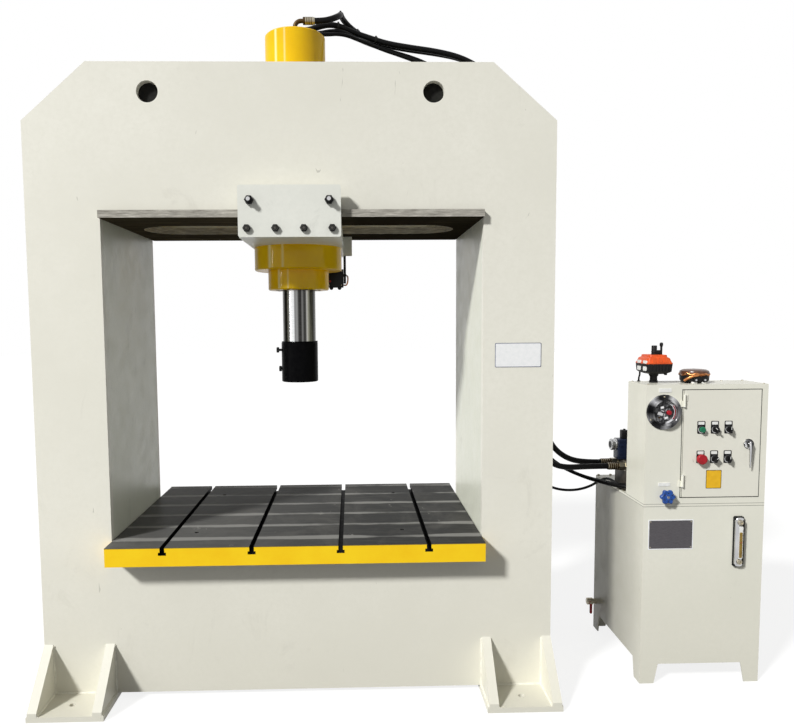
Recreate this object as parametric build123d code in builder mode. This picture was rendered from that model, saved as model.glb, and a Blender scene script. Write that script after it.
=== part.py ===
from build123d import *
from math import atan2, cos, pi, radians, sin, tan
import os

# Gantry hydraulic press: a welded portal frame with a T-slotted table, a cylinder that rolls along
# the crossbeam in a carriage, and a separate power station joined to it by hoses.
# Millimetres. X runs along the crossbeam to the right, Y runs from front to back, Z is up.
# The origin is on the floor, in the middle of the four anchor holes of the press frame.
# Names of separate pieces are the names of their files.

# Portal frame
opening_width = 1446
column_width = 277
frame_depth = 700
frame_height = 2440
shoulder_drop = 213
shoulder_run = 242
face_plate = 30
side_plate = 30
inner_column_plate = 25
base_plate = 30
base_rib = 25
lifting_hole = 80
lifting_hole_inset = 225
lifting_hole_drop = 108

# Feet
sole_thickness = 20
sole_reach = 5
sole_front = 170
sole_back = 50
gusset_thickness = 35
gusset_height = 200
gusset_nose = 15
gusset_inset = 2
anchor_hole = 24
anchor_inset = 135
anchor_reach = 85

# Table
table_top = 633
table_thickness = 72
table_depth = 1000
table_y = 53
table_side_gap = 3
slot_pitch = 336
slot_neck = 18
slot_foot_width = 30
slot_foot_height = 12
slot_depth = 30
table_hole = 17.5
table_hole_depth = 45
table_hole_x = 415
table_hole_y = 308

# Crossbeam
beam_depth = 572
slide_thickness = 28
slide_overhang = 26
beam_slot_end = 68
beam_slot_width = 276
web_thickness = 20
web_set_back = 8
web_rib_pitch = 350

# Carriage
carriage_x = -8
carriage_width = 380
carriage_thickness = 75
carriage_gap = 3
hanger_thickness = 30
hanger_gap = 8
hanger_height = 190
hanger_corner = 8
hanger_bolt = 16
hanger_bolt_pitch = 105
hanger_bolt_rise = 32
hanger_bolt_grip = 45
hanger_bolt_head = 24
hanger_bolt_head_height = 13
roller_diameter = 55.4
roller_width = 20
roller_play = 0.3
roller_half_pitch = 147
roller_face_gap = 3
stud_diameter = 20
stud_fit = 0.05
stud_nut = 30
stud_nut_height = 16
stud_end = 18
bracket_width = 40
bracket_height = 87
bracket_thickness = 8
bracket_y = 215
switch_width = 75
switch_height = 86
switch_thickness = 32
switch_lap = 24
switch_drop = 66
switch_arm_width = 12
switch_roller = 18

# Cylinder
bore = 200
barrel_diameter = 250
barrel_clearance = 1
barrel_showing = 160
flange_diameter = 370
flange_height = 96
flange_edge = 4
gland_diameter = 258
gland_height = 82
gland_spigot = 66
cap_height = 60
cap_spigot = 20
rod_diameter = 140
rod_fit = 0.05
piston_height = 120
piston_fit = 0.05
piston_neck = 100
piston_nut_height = 28
piston_nut = 140
seal_groove = 8
seal_places = (0.3, 0.7)
seal_width = 12
ram_down_travel = 385
ram_stop_gap = 2
rod_showing = 221
rod_neck = 80
rod_neck_length = 60
tool_diameter = 156
tool_height = 170
tool_socket = 50
tool_socket_depth = 90
tool_edge = 3
clamp_screw = 16
clamp_screw_head = 24
clamp_screw_head_height = 10
clamp_screw_drops = (34, 115)
clamp_screw_reach = (12, 6)

# Ports on top of the cylinder
port_pipe = 18
port_pipe_radius = 143
port_pipe_angle = 120
rod_port_rise = 81
port_bend = 25
port_rise = 70
ferrule_diameter = 31
ferrule_length = 42
ferrule_start = 34
elbow_hex = 36
elbow_hex_height = 24
pilot_pipe = 10
pilot_bend = 15
pilot_hex = 22
pilot_hex_height = 14
pilot_ferrule_diameter = 19
pilot_ferrule_length = 22
pilot_ferrule_start = 20
pilot_ports = ((22, 92, 58), (60, 62, 40))

# Power station
station_gap = 374
station_width = 488
station_front = -328
tank_depth = 545
tank_bottom = 82
tank_height = 650
tank_wall = 4
lid_thickness = 10
leg_top_width = 74
leg_foot_width = 58
leg_plate = 5
cover_diameter = 110
cover_thickness = 12
cover_inset = 208
cover_rear_inset = 57
cover_nut = 19
cover_nut_height = 12
motor_inset = 356
motor_rear_inset = 157
motor_flange = 200
motor_flange_thickness = 18
motor_body = 150
motor_length = 230
motor_fins = 16
motor_fin = 4
motor_fin_reach = 10
fan_cover_length = 52
terminal_box = 90
pump_diameter = 110
pump_height = 130
suction_pipe = 34
strainer_diameter = 80
strainer_height = 110
strainer_clearance = 70
shaft_hole = 60
shaft_clearance = 1

# Valves and fittings behind the control box
manifold_inset = 36
manifold_width = 100
manifold_gap = 90
manifold_depth = 135
manifold_height = 118
manifold_plug = 22
manifold_plug_height = 5
port_a_inset = 18
port_b_inset = 108
port_height = 96
valve_width = 70
valve_height = 45
valve_depth = 62
coil_length = 52
coil_height = 92
coil_depth = 60
coil_nut = 52
coil_nut_length = 22
coil_overhang = 25
coil_edge = 2
coil_corner = 6
plug_width = 28
plug_depth = 28
plug_height = 38
station_hex = 34
station_hex_length = 30
station_ferrule_length = 47
junction_inset = 156
junction_width = 90
junction_depth = 80
junction_height = 60
junction_gland_height = 26
junction_gland_insets = (14, 36, 58)
box_gland_diameter = 20
box_gland_length = 22
column_gland_y = 150
column_gland_z = 742

# Control box and door
box_height = 478
box_depth = 180
box_wall = 3
door_width = 308
door_height = 428
door_inset = 152
door_rise = 28
door_gap = 2
door_sheet = 2
door_return = 18
door_proud = 2
hinge_radius = 5
hinge_pin = 5
hinge_fit = 0.05
hinge_length = 48
hinge_play = 0.3
hinge_rises = (42, 362)
hinge_leaf = 14
mounting_plate_width = 400
mounting_plate_height = 380
mounting_plate_thickness = 2
mounting_plate_stand_off = 14
contactor = (45, 70, 75)
terminal_strip = (300, 40, 40)
stand_off = 12
stand_off_inset = 40
contactor_rise = 90
contactor_gap = 12
contactor_count = 4

# Buttons and knobs on the door
button_insets = (222, 276.5, 331)
button_rises = (300, 182)
button_hole = 22
bezel_diameter = 29
bezel_height = 5
housing_length = 26
contact_block = (30, 40, 26)
shank_diameter = 15
shank_play = 0.3
push_cap = 23
push_cap_height = 9
push_cap_round = 3
stop_cap = 40
stop_cap_height = 14
stop_cap_round = 4.6
button_travel = 4
knob_diameter = 26
knob_height = 9
knob_bar_width = 8
knob_bar_height = 11
knob_edge = 1
selector_angles = (45, 0, -45, 0)
lock_inset = 414
lock_rise = 240
lock_base = 40
lock_base_height = 6
lock_stem = 12
lock_lever_length = 104
lock_lever_width = 14
lock_lever_thickness = 7
lock_stand_off = 16
lock_tail = 22
lock_hub = 18
lock_lever_tip = 6
lock_tongue = 3
lock_tongue_length = 66

# Gauge, handwheel, level gauge and drain tap
gauge_inset = 71
gauge_rise = 370
gauge_flange = 138
gauge_flange_thickness = 4
gauge_bezel = 106
gauge_bezel_height = 20
gauge_dial = 94
gauge_dial_height = 6
gauge_case = 100
gauge_case_depth = 45
gauge_clearance = 1
gauge_socket = 18
gauge_socket_length = 12
gauge_socket_x = 4
gauge_socket_bite = 4.5
pipe_setback = 25
needle_pin = 4
needle_hub = 9
needle_length = 38
needle_tail = 12
needle_width = 4
needle_thickness = 1.2
needle_gap = 2
needle_angle = 225
wheel_rise = 35
wheel_inset = 85
wheel_diameter = 62
wheel_lobes = 6
wheel_lobe_cut = 17
wheel_cut_offset = 4.25
wheel_thickness = 15
wheel_stand_off = 18
wheel_stem = 12
stem_play = 0.3
gauge_pipe = 10
shut_off_body = 34
level_inset = 383
level_rise = 404
level_height = 204
level_width = 38
level_thickness = 20
level_window = (14, 104)
level_window_depth = 10
level_bolt_drop = 22
level_bolt = 22
level_bolt_head = 8
drain_rear_inset = 27
drain_rise = 53
drain_pipe = 22
drain_nipple = 16
drain_body = 32
drain_body_length = 26
drain_lever_length = 48
drain_lever_width = 12
drain_lever_thickness = 4
drain_lever_angle = -90
drain_stem = 8
drain_stem_length = 6
drain_lever_gap = 0.5
lever_fit = 0.05

# Units on top of the control box
switch_unit_inset = 20
switch_unit_width = 106
switch_unit_setback = 43
switch_unit_depth = 125
switch_unit_rise = 36
switch_unit_base_height = 43
switch_unit_top_height = 36
switch_unit_stem = 34
unit_gland = 22
unit_gland_height = 36
unit_lever = 9
unit_lever_x = 29
unit_lever_height = 48
switch_unit_corner = 12
switch_unit_taper = 16
coil_unit_inset = 230
coil_unit_setback = 83
coil_unit_diameter = 118
coil_unit_base_height = 26
coil_unit_dome_height = 24
coil_unit_dome_round = 12
coil_unit_foot_pitch = 58
coil_unit_foot_height = 6
coil_unit_foot = 18
coil_tube = 14

# Hoses, with their routes from the cylinder to the power station
pressure_hose = 25
pilot_hose = 16
frame_cable = 12
arc_share = 0.45
cap_hose_leads = (44, 77)
rod_hose_leads = (41.5, 87)
pilot_hose_leads = (36, 48)
conduit_leads = (36, 62)
cable_leads = (28, 42)

# Sizes worked out from the ones above
frame_width = opening_width + 2 * column_width
half_width = frame_width / 2
shoulder_half_width = half_width - shoulder_run
shoulder_height = frame_height - shoulder_drop
lifting_hole_x = shoulder_half_width - lifting_hole_inset
lifting_hole_z = frame_height - lifting_hole_drop
sole_inner_x = opening_width / 2 - sole_reach
sole_outer_x = half_width + sole_reach
gusset_inner_x = (opening_width + gusset_thickness) / 2 + gusset_inset
gusset_outer_x = half_width - gusset_thickness / 2
anchor_x = half_width - anchor_inset
anchor_y = frame_depth / 2 + anchor_reach
inner_depth = frame_depth - 2 * face_plate
table_underside = table_top - table_thickness
table_width = opening_width - 2 * table_side_gap
slide_underside = frame_height - beam_depth
beam_slot_length = opening_width - 2 * beam_slot_end
opening_top = slide_underside + slide_thickness
shoulder_angle = atan2(frame_height - shoulder_height, half_width - shoulder_half_width)
carriage_top = slide_underside - carriage_gap
carriage_bottom = carriage_top - carriage_thickness
hanger_inner_y = frame_depth / 2 + slide_overhang + hanger_gap
hanger_outer_y = hanger_inner_y + hanger_thickness
roller_z = opening_top + roller_play + roller_diameter / 2
roller_inner_y = frame_depth / 2 + roller_face_gap
flange_bottom = carriage_bottom - flange_height
gland_bottom = flange_bottom - gland_height
piston_bottom = flange_bottom + gland_spigot + ram_stop_gap + ram_down_travel
tool_top = gland_bottom - rod_showing
barrel_top = frame_height + barrel_showing
cap_top = barrel_top + cap_height
rod_port_z = cap_top + rod_port_rise
station_left = half_width + station_gap
station_x = station_left + station_width / 2
station_right = station_left + station_width
tank_rear = station_front + tank_depth
lid_bottom = tank_bottom + tank_height
lid_top = lid_bottom + lid_thickness
box_top = lid_top + box_height
box_rear = station_front + box_depth
tank_middle_y = station_front + tank_depth / 2
cover_x = station_left + cover_inset
cover_y = tank_rear - cover_rear_inset
motor_x = station_left + motor_inset
motor_y = tank_rear - motor_rear_inset
manifold_left = station_left + manifold_inset
manifold_front = box_rear + manifold_gap
port_a_y = manifold_front + port_a_inset
port_b_y = manifold_front + port_b_inset
port_z = lid_top + port_height
junction_left = station_left + junction_inset
junction_gland_ys = [box_rear + inset for inset in junction_gland_insets]
door_left = station_left + door_inset
door_bottom = lid_top + door_rise
door_face = station_front - door_proud
hinge_heights = [door_bottom + rise for rise in hinge_rises]
hinge_x = door_left - door_gap / 2
hinge_y = station_front - hinge_radius - door_proud
button_xs = [station_left + inset for inset in button_insets]
button_rows = [lid_top + rise for rise in button_rises]
lock_x = station_left + lock_inset
lock_z = lid_top + lock_rise
gauge_x = station_left + gauge_inset
gauge_z = lid_top + gauge_rise
wheel_x = station_left + wheel_inset
wheel_z = lid_top + wheel_rise
pipe_y = station_front + pipe_setback
level_x = station_left + level_inset
level_bottom = tank_bottom + level_rise
drain_y = tank_rear - drain_rear_inset
drain_z = tank_bottom + drain_rise
drain_stem_x = station_left - drain_nipple - drain_body_length / 2
switch_unit_left = station_left + switch_unit_inset
switch_unit_front = station_front + switch_unit_setback
coil_unit_x = station_left + coil_unit_inset
coil_unit_y = station_front + coil_unit_setback

os.makedirs("parts", exist_ok=True)


def level(z, x=0, y=0):
    """A horizontal plane at height z; local x and y are +X and +Y."""
    return Plane((x, y, z))


def facing(y, x=0, z=0):
    """An upright plane that faces the front; local x is +X, local y is +Z, extruding comes forward."""
    return Plane((x, y, z), x_dir=(1, 0, 0), z_dir=(0, -1, 0))


def sideways(x, y=0, z=0):
    """An upright plane that faces +X; local x is +Y, local y is +Z."""
    return Plane((x, y, z), x_dir=(0, 1, 0), z_dir=(1, 0, 0))


def hexagon(across_flats):
    """A hexagon by its width across flats."""
    RegularPolygon(across_flats / 2, 6, major_radius=False)


# Front and rear face plates with the daylight opening and the lifting holes
with BuildPart() as front_plate:
    with BuildSketch(facing(-inner_depth / 2)):
        with BuildLine():
            Polyline(
                (-half_width, sole_thickness),
                (-half_width, shoulder_height),
                (-shoulder_half_width, frame_height),
                (shoulder_half_width, frame_height),
                (half_width, shoulder_height),
                (half_width, sole_thickness),
                close=True,
            )
        make_face()
        with Locations((0, (opening_top + table_underside) / 2)):
            Rectangle(opening_width, opening_top - table_underside, mode=Mode.SUBTRACT)
        with Locations((-lifting_hole_x, lifting_hole_z), (lifting_hole_x, lifting_hole_z)):
            Circle(lifting_hole / 2, mode=Mode.SUBTRACT)
    extrude(amount=face_plate)
front_plate.part.label = "front_plate"
export_step(front_plate.part, "parts/front_plate.step")

with BuildPart() as rear_plate:
    mirror(front_plate.part, about=Plane.XZ)
rear_plate.part.label = "rear_plate"
export_step(rear_plate.part, "parts/rear_plate.step")

# Outer side plates, bent over the shoulders
with BuildPart() as side_plates:
    with BuildSketch(facing(inner_depth / 2)):
        inner_corner_drop = side_plate * (1 - sin(shoulder_angle)) / cos(shoulder_angle)
        with BuildLine():
            Polyline(
                (half_width, sole_thickness),
                (half_width, shoulder_height),
                (shoulder_half_width, frame_height),
                (shoulder_half_width, frame_height - side_plate / cos(shoulder_angle)),
                (half_width - side_plate, shoulder_height - inner_corner_drop),
                (half_width - side_plate, sole_thickness),
                close=True,
            )
        make_face()
    extrude(amount=inner_depth)
    mirror(about=Plane.YZ)
side_plates.part.label = "side_plates"
export_step(side_plates.part, "parts/side_plates.step")

with BuildPart() as top_plate:
    with BuildSketch(level(frame_height - side_plate)):
        Rectangle(2 * shoulder_half_width, inner_depth)
        SlotOverall(beam_slot_length, beam_slot_width, mode=Mode.SUBTRACT)
    extrude(amount=side_plate)
top_plate.part.label = "top_plate"
export_step(top_plate.part, "parts/top_plate.step")

# Inner walls of the two columns, from the base to the top plate
with BuildPart() as column_inner_plates:
    with BuildSketch(level(sole_thickness + base_plate)):
        with Locations((opening_width / 2 + inner_column_plate / 2, 0)):
            Rectangle(inner_column_plate, inner_depth)
    extrude(amount=frame_height - side_plate - sole_thickness - base_plate)
    mirror(about=Plane.YZ)
column_inner_plates.part.label = "column_inner_plates"
export_step(column_inner_plates.part, "parts/column_inner_plates.step")

# Bare slide plate under the crossbeam, whose ledges carry the rollers
with BuildPart() as beam_slide_plate:
    with BuildSketch(level(slide_underside)):
        Rectangle(opening_width, frame_depth + 2 * slide_overhang)
        SlotOverall(beam_slot_length, beam_slot_width, mode=Mode.SUBTRACT)
    extrude(amount=slide_thickness)
beam_slide_plate.part.label = "beam_slide_plate"
export_step(beam_slide_plate.part, "parts/beam_slide_plate.step")

# Webs beside the slot inside the beam, and the ribs between them and the face plates
beam_room = frame_height - side_plate - opening_top
web_inner_y = beam_slot_width / 2 + web_set_back
web_outer_y = web_inner_y + web_thickness
with BuildPart() as beam_webs:
    with BuildSketch(level(opening_top)):
        with Locations((0, web_inner_y + web_thickness / 2)):
            Rectangle(opening_width, web_thickness)
    extrude(amount=beam_room)
    mirror(about=Plane.XZ)
beam_webs.part.label = "beam_webs"
export_step(beam_webs.part, "parts/beam_webs.step")

with BuildPart() as beam_ribs:
    with BuildSketch(level(opening_top)):
        with Locations((0, (inner_depth / 2 + web_outer_y) / 2)):
            with GridLocations(web_rib_pitch, 0, 3, 1):
                Rectangle(web_thickness, inner_depth / 2 - web_outer_y)
    extrude(amount=beam_room)
    mirror(about=Plane.XZ)
beam_ribs.part.label = "beam_ribs"
export_step(beam_ribs.part, "parts/beam_ribs.step")

# Base under the table
with BuildPart() as base_top_plate:
    with BuildSketch(level(table_underside - base_plate)):
        Rectangle(opening_width, inner_depth)
    extrude(amount=base_plate)
base_top_plate.part.label = "base_top_plate"
export_step(base_top_plate.part, "parts/base_top_plate.step")

with BuildPart() as base_bottom_plate:
    with BuildSketch(level(sole_thickness)):
        Rectangle(frame_width - 2 * side_plate, inner_depth)
    extrude(amount=base_plate)
    with BuildSketch(level(sole_thickness + base_plate)):
        with GridLocations(slot_pitch, 0, 3, 1):
            Rectangle(base_rib, inner_depth)
    extrude(amount=table_underside - sole_thickness - 2 * base_plate)
base_bottom_plate.part.label = "base_bottom_plate"
export_step(base_bottom_plate.part, "parts/base_bottom_plate.step")

# Four feet: a sole under the frame's corner and two sloping gussets in front of the plate
sole_width = sole_outer_x - sole_inner_x
sole_x = (sole_inner_x + sole_outer_x) / 2
sole_y = (sole_back - sole_front - frame_depth) / 2
with BuildPart() as feet:
    with BuildSketch(level(0)):
        with Locations((sole_x, sole_y)):
            Rectangle(sole_width, sole_front + sole_back)
        with Locations((anchor_x, -anchor_y)):
            Circle(anchor_hole / 2, mode=Mode.SUBTRACT)
    extrude(amount=sole_thickness)
    for gusset_x in (gusset_inner_x, gusset_outer_x):
        with BuildSketch(sideways(gusset_x, -frame_depth / 2, sole_thickness)):
            with BuildLine():
                Polyline(
                    (0, 0),
                    (0, gusset_height),
                    (-sole_front, gusset_nose),
                    (-sole_front, 0),
                    close=True,
                )
            make_face()
        extrude(amount=gusset_thickness / 2, both=True)
    mirror(about=Plane.YZ)
    mirror(about=Plane.XZ)
feet.part.label = "feet"
export_step(feet.part, "parts/feet.step")

# T-slotted table with four tapped holes
with BuildPart() as table:
    with BuildSketch(facing(table_y + table_depth / 2)):
        with Locations((0, table_underside + table_thickness / 2)):
            Rectangle(table_width, table_thickness)
        with GridLocations(slot_pitch, 0, 4, 1):
            with Locations((0, table_top - slot_depth / 2)):
                Rectangle(slot_neck, slot_depth, mode=Mode.SUBTRACT)
            with Locations((0, table_top - slot_depth + slot_foot_height / 2)):
                Rectangle(slot_foot_width, slot_foot_height, mode=Mode.SUBTRACT)
    extrude(amount=table_depth)
    with Locations(level(table_top, 0, table_y)):
        with GridLocations(2 * table_hole_x, 2 * table_hole_y, 2, 2):
            Hole(table_hole / 2, depth=table_hole_depth)
table.part.label = "table"
export_step(table.part, "parts/table.step")

# Carriage plate that hangs under the crossbeam and carries the cylinder
pipe_dx = port_pipe_radius * cos(radians(port_pipe_angle))
pipe_dy = port_pipe_radius * sin(radians(port_pipe_angle))
bolt_z = carriage_bottom + hanger_bolt_rise
with BuildPart() as carriage_plate:
    with BuildSketch(level(carriage_bottom, carriage_x)):
        Rectangle(carriage_width, 2 * hanger_inner_y)
        Circle(barrel_diameter / 2 + barrel_clearance, mode=Mode.SUBTRACT)
        with Locations((pipe_dx, pipe_dy)):
            Circle(port_pipe / 2 + barrel_clearance, mode=Mode.SUBTRACT)
    extrude(amount=carriage_thickness)
    for face_sign in (-1, 1):
        with BuildSketch(facing(face_sign * hanger_inner_y, carriage_x, bolt_z)):
            with GridLocations(hanger_bolt_pitch, 0, 4, 1):
                Circle(hanger_bolt / 2)
        extrude(amount=face_sign * hanger_bolt_grip, mode=Mode.SUBTRACT)
    bracket_left = carriage_x + carriage_width / 2
    with BuildSketch(facing(bracket_y + bracket_thickness)):
        with Locations((bracket_left + bracket_width / 2, carriage_top - bracket_height / 2)):
            Rectangle(bracket_width, bracket_height)
    extrude(amount=bracket_thickness)
carriage_plate.part.label = "carriage_plate"
export_step(carriage_plate.part, "parts/carriage_plate.step")

# Hanger plates in front of and behind the beam
with BuildPart() as hanger_plates:
    with BuildSketch(facing(-hanger_inner_y, carriage_x, carriage_bottom)):
        with Locations((0, hanger_height / 2)):
            RectangleRounded(carriage_width, hanger_height, hanger_corner)
        with Locations((0, hanger_bolt_rise)):
            with GridLocations(hanger_bolt_pitch, 0, 4, 1):
                Circle(hanger_bolt / 2, mode=Mode.SUBTRACT)
        with Locations((0, roller_z - carriage_bottom)):
            with GridLocations(2 * roller_half_pitch, 0, 2, 1):
                Circle(stud_diameter / 2, mode=Mode.SUBTRACT)
    extrude(amount=hanger_thickness)
    mirror(about=Plane.XZ)
hanger_plates.part.label = "hanger_plates"
export_step(hanger_plates.part, "parts/hanger_plates.step")

with BuildPart() as hanger_bolts:
    with BuildSketch(facing(-hanger_outer_y, carriage_x, bolt_z)):
        with GridLocations(hanger_bolt_pitch, 0, 4, 1):
            hexagon(hanger_bolt_head)
    extrude(amount=hanger_bolt_head_height)
    with BuildSketch(facing(-hanger_outer_y, carriage_x, bolt_z)):
        with GridLocations(hanger_bolt_pitch, 0, 4, 1):
            Circle(hanger_bolt / 2)
    extrude(amount=-hanger_thickness - hanger_bolt_grip)
    mirror(about=Plane.XZ)
hanger_bolts.part.label = "hanger_bolts"
export_step(hanger_bolts.part, "parts/hanger_bolts.step")

# Studs on which the rollers turn, with nuts outside the hanger plates
roller_outer_y = roller_inner_y + roller_width
with BuildPart() as roller_studs:
    stud_plane = facing(-roller_inner_y, carriage_x, roller_z)
    with BuildSketch(stud_plane):
        with GridLocations(2 * roller_half_pitch, 0, 2, 1):
            Circle(stud_diameter / 2)
    extrude(amount=hanger_outer_y + stud_nut_height + stud_end - roller_inner_y)
    with BuildSketch(facing(-roller_outer_y - roller_play, carriage_x, roller_z)):
        with GridLocations(2 * roller_half_pitch, 0, 2, 1):
            Circle(stud_nut / 2)
    extrude(amount=hanger_inner_y - roller_outer_y - roller_play)
    with BuildSketch(facing(-hanger_outer_y, carriage_x, roller_z)):
        with GridLocations(2 * roller_half_pitch, 0, 2, 1):
            hexagon(stud_nut)
    extrude(amount=stud_nut_height)
    mirror(about=Plane.XZ)
roller_studs.part.label = "roller_studs"
export_step(roller_studs.part, "parts/roller_studs.step")

for side_name, side_sign in (("left", -1), ("right", 1)):
    for face_name, roller_back in (("front", -roller_inner_y), ("rear", roller_outer_y)):
        with BuildPart() as roller:
            with BuildSketch(facing(roller_back, carriage_x + side_sign * roller_half_pitch, roller_z)):
                Circle(roller_diameter / 2)
                Circle(stud_diameter / 2 + stud_fit, mode=Mode.SUBTRACT)
            extrude(amount=roller_width)
        roller.part.label = f"roller_{face_name}_{side_name}"
        export_step(roller.part, f"parts/roller_{face_name}_{side_name}.step")

# Limit switch on an arm under the bracket, behind the cylinder flange
with BuildPart() as limit_switch:
    switch_top = flange_bottom + switch_lap
    arm_top = carriage_top - bracket_height / 2
    arm_length = arm_top - switch_top + switch_drop
    with BuildSketch(facing(bracket_y)):
        with Locations((bracket_left, arm_top)):
            Rectangle(switch_arm_width, arm_length, align=(Align.MIN, Align.MAX))
    extrude(amount=bracket_thickness)
    with BuildSketch(facing(bracket_y + switch_thickness - bracket_thickness)):
        with Locations((bracket_left, switch_top)):
            Rectangle(switch_width, switch_height, align=(Align.MAX, Align.MAX))
    extrude(amount=switch_thickness)
    with BuildSketch(facing(bracket_y)):
        with Locations((bracket_left - switch_width / 2, switch_top - switch_height)):
            with GridLocations(switch_width / 2, 0, 2, 1):
                Circle(switch_roller / 2)
    extrude(amount=bracket_thickness)
limit_switch.part.label = "limit_switch"
export_step(limit_switch.part, "parts/limit_switch.step")

# Cylinder barrel with its mounting flange under the carriage plate
with BuildPart() as cylinder_barrel:
    with BuildSketch(level(flange_bottom, carriage_x)):
        Circle(flange_diameter / 2)
    extrude(amount=flange_height)
    chamfer(edges().filter_by(GeomType.CIRCLE).sort_by(Axis.Z)[0], flange_edge)
    with BuildSketch(level(carriage_bottom, carriage_x)):
        Circle(barrel_diameter / 2)
    extrude(amount=barrel_top - carriage_bottom)
    with BuildSketch(level(flange_bottom, carriage_x)):
        Circle(bore / 2)
    extrude(amount=barrel_top - flange_bottom, mode=Mode.SUBTRACT)
cylinder_barrel.part.label = "cylinder_barrel"
export_step(cylinder_barrel.part, "parts/cylinder_barrel.step")

# Lower gland, which guides the rod
with BuildPart() as cylinder_gland:
    with BuildSketch(level(gland_bottom, carriage_x)):
        Circle(gland_diameter / 2)
    extrude(amount=gland_height)
    chamfer(edges().filter_by(GeomType.CIRCLE).sort_by(Axis.Z)[0], flange_edge)
    with BuildSketch(level(flange_bottom, carriage_x)):
        Circle(bore / 2)
    extrude(amount=gland_spigot)
    with BuildSketch(level(gland_bottom, carriage_x)):
        Circle(rod_diameter / 2 + rod_fit)
    extrude(amount=gland_height + gland_spigot, mode=Mode.SUBTRACT)
cylinder_gland.part.label = "cylinder_gland"
export_step(cylinder_gland.part, "parts/cylinder_gland.step")

with BuildPart() as cylinder_cap:
    with BuildSketch(level(barrel_top, carriage_x)):
        Circle(barrel_diameter / 2)
    extrude(amount=cap_height)
    chamfer(edges().filter_by(GeomType.CIRCLE).sort_by(Axis.Z)[-1], flange_edge)
    with BuildSketch(level(barrel_top, carriage_x)):
        Circle(bore / 2)
    extrude(amount=-cap_spigot)
cylinder_cap.part.label = "cylinder_cap"
export_step(cylinder_cap.part, "parts/cylinder_cap.step")


def hose_end(start, rise, bend, pipe, ferrule_x, ferrule, ferrule_run):
    """A pipe that climbs from start, bends towards +X and ends in a hose ferrule."""
    x, y, z = start
    with BuildPart() as piece:
        with BuildLine():
            FilletPolyline((x, y, z), (x, y, z + rise), (x + ferrule_x, y, z + rise), radius=bend)
        with BuildSketch(level(z, x, y)):
            Circle(pipe / 2)
        sweep()
        with BuildSketch(sideways(x + ferrule_x, y, z + rise)):
            Circle(ferrule / 2)
        extrude(amount=ferrule_run)
    return piece.part


# Elbows and ferrules on top of the cylinder, and the pipe up from the lower port
port_z_top = cap_top + port_rise
with BuildPart() as port_elbows:
    with BuildSketch(level(cap_top, carriage_x)):
        hexagon(elbow_hex)
    extrude(amount=elbow_hex_height)
    add(hose_end((carriage_x, 0, cap_top + elbow_hex_height), port_rise - elbow_hex_height, port_bend,
                 port_pipe, ferrule_start, ferrule_diameter, ferrule_length))
    add(hose_end((carriage_x + pipe_dx, pipe_dy, carriage_bottom), rod_port_z - carriage_bottom, port_bend,
                 port_pipe, ferrule_start, ferrule_diameter, ferrule_length))
    for pilot_dx, pilot_y, pilot_rise in pilot_ports:
        with BuildSketch(level(cap_top, carriage_x + pilot_dx, pilot_y)):
            hexagon(pilot_hex)
        extrude(amount=pilot_hex_height)
        add(hose_end((carriage_x + pilot_dx, pilot_y, cap_top + pilot_hex_height),
                     pilot_rise - pilot_hex_height, pilot_bend, pilot_pipe, pilot_ferrule_start,
                     pilot_ferrule_diameter, pilot_ferrule_length))
port_elbows.part.label = "port_elbows"
export_step(port_elbows.part, "parts/port_elbows.step")

# Chromed rod with a neck into the tool holder and a neck through the piston
with BuildPart() as ram_rod:
    with BuildSketch(level(tool_top, carriage_x)):
        Circle(rod_diameter / 2)
    extrude(amount=piston_bottom - tool_top)
    with BuildSketch(level(tool_top - rod_neck_length, carriage_x)):
        Circle(rod_neck / 2)
    extrude(amount=rod_neck_length)
    with BuildSketch(level(piston_bottom, carriage_x)):
        Circle(piston_neck / 2)
    extrude(amount=piston_height + piston_nut_height)
ram_rod.part.label = "ram_rod"
export_step(ram_rod.part, "parts/ram_rod.step")

with BuildPart() as piston:
    with BuildSketch(level(piston_bottom, carriage_x)):
        Circle(bore / 2 - piston_fit)
    extrude(amount=piston_height)
    for groove_share in seal_places:
        with BuildSketch(level(piston_bottom + groove_share * piston_height, carriage_x)):
            Circle(bore / 2)
            Circle(bore / 2 - seal_groove, mode=Mode.SUBTRACT)
        extrude(amount=seal_width / 2, both=True, mode=Mode.SUBTRACT)
    with BuildSketch(level(piston_bottom + piston_height, carriage_x)):
        hexagon(piston_nut)
    extrude(amount=piston_nut_height)
    with BuildSketch(level(piston_bottom, carriage_x)):
        Circle(piston_neck / 2)
    extrude(amount=piston_height + piston_nut_height, mode=Mode.SUBTRACT)
piston.part.label = "piston"
export_step(piston.part, "parts/piston.step")

# Black tool holder on the end of the rod, with the socket for tools and its clamp screws
tool_bottom = tool_top - tool_height
with BuildPart() as tool_holder:
    with BuildSketch(level(tool_bottom, carriage_x)):
        Circle(tool_diameter / 2)
    extrude(amount=tool_height)
    chamfer(edges().filter_by(GeomType.CIRCLE), tool_edge)
    with BuildSketch(level(tool_top - rod_neck_length, carriage_x)):
        Circle(rod_neck / 2)
    extrude(amount=rod_neck_length, mode=Mode.SUBTRACT)
    with BuildSketch(level(tool_bottom, carriage_x)):
        Circle(tool_socket / 2)
    extrude(amount=tool_socket_depth, mode=Mode.SUBTRACT)
    for drop in clamp_screw_drops:
        with BuildSketch(sideways(carriage_x, 0, tool_top - drop)):
            Circle(clamp_screw / 2)
        extrude(amount=-tool_diameter / 2, mode=Mode.SUBTRACT)
tool_holder.part.label = "tool_holder"
export_step(tool_holder.part, "parts/tool_holder.step")

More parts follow.
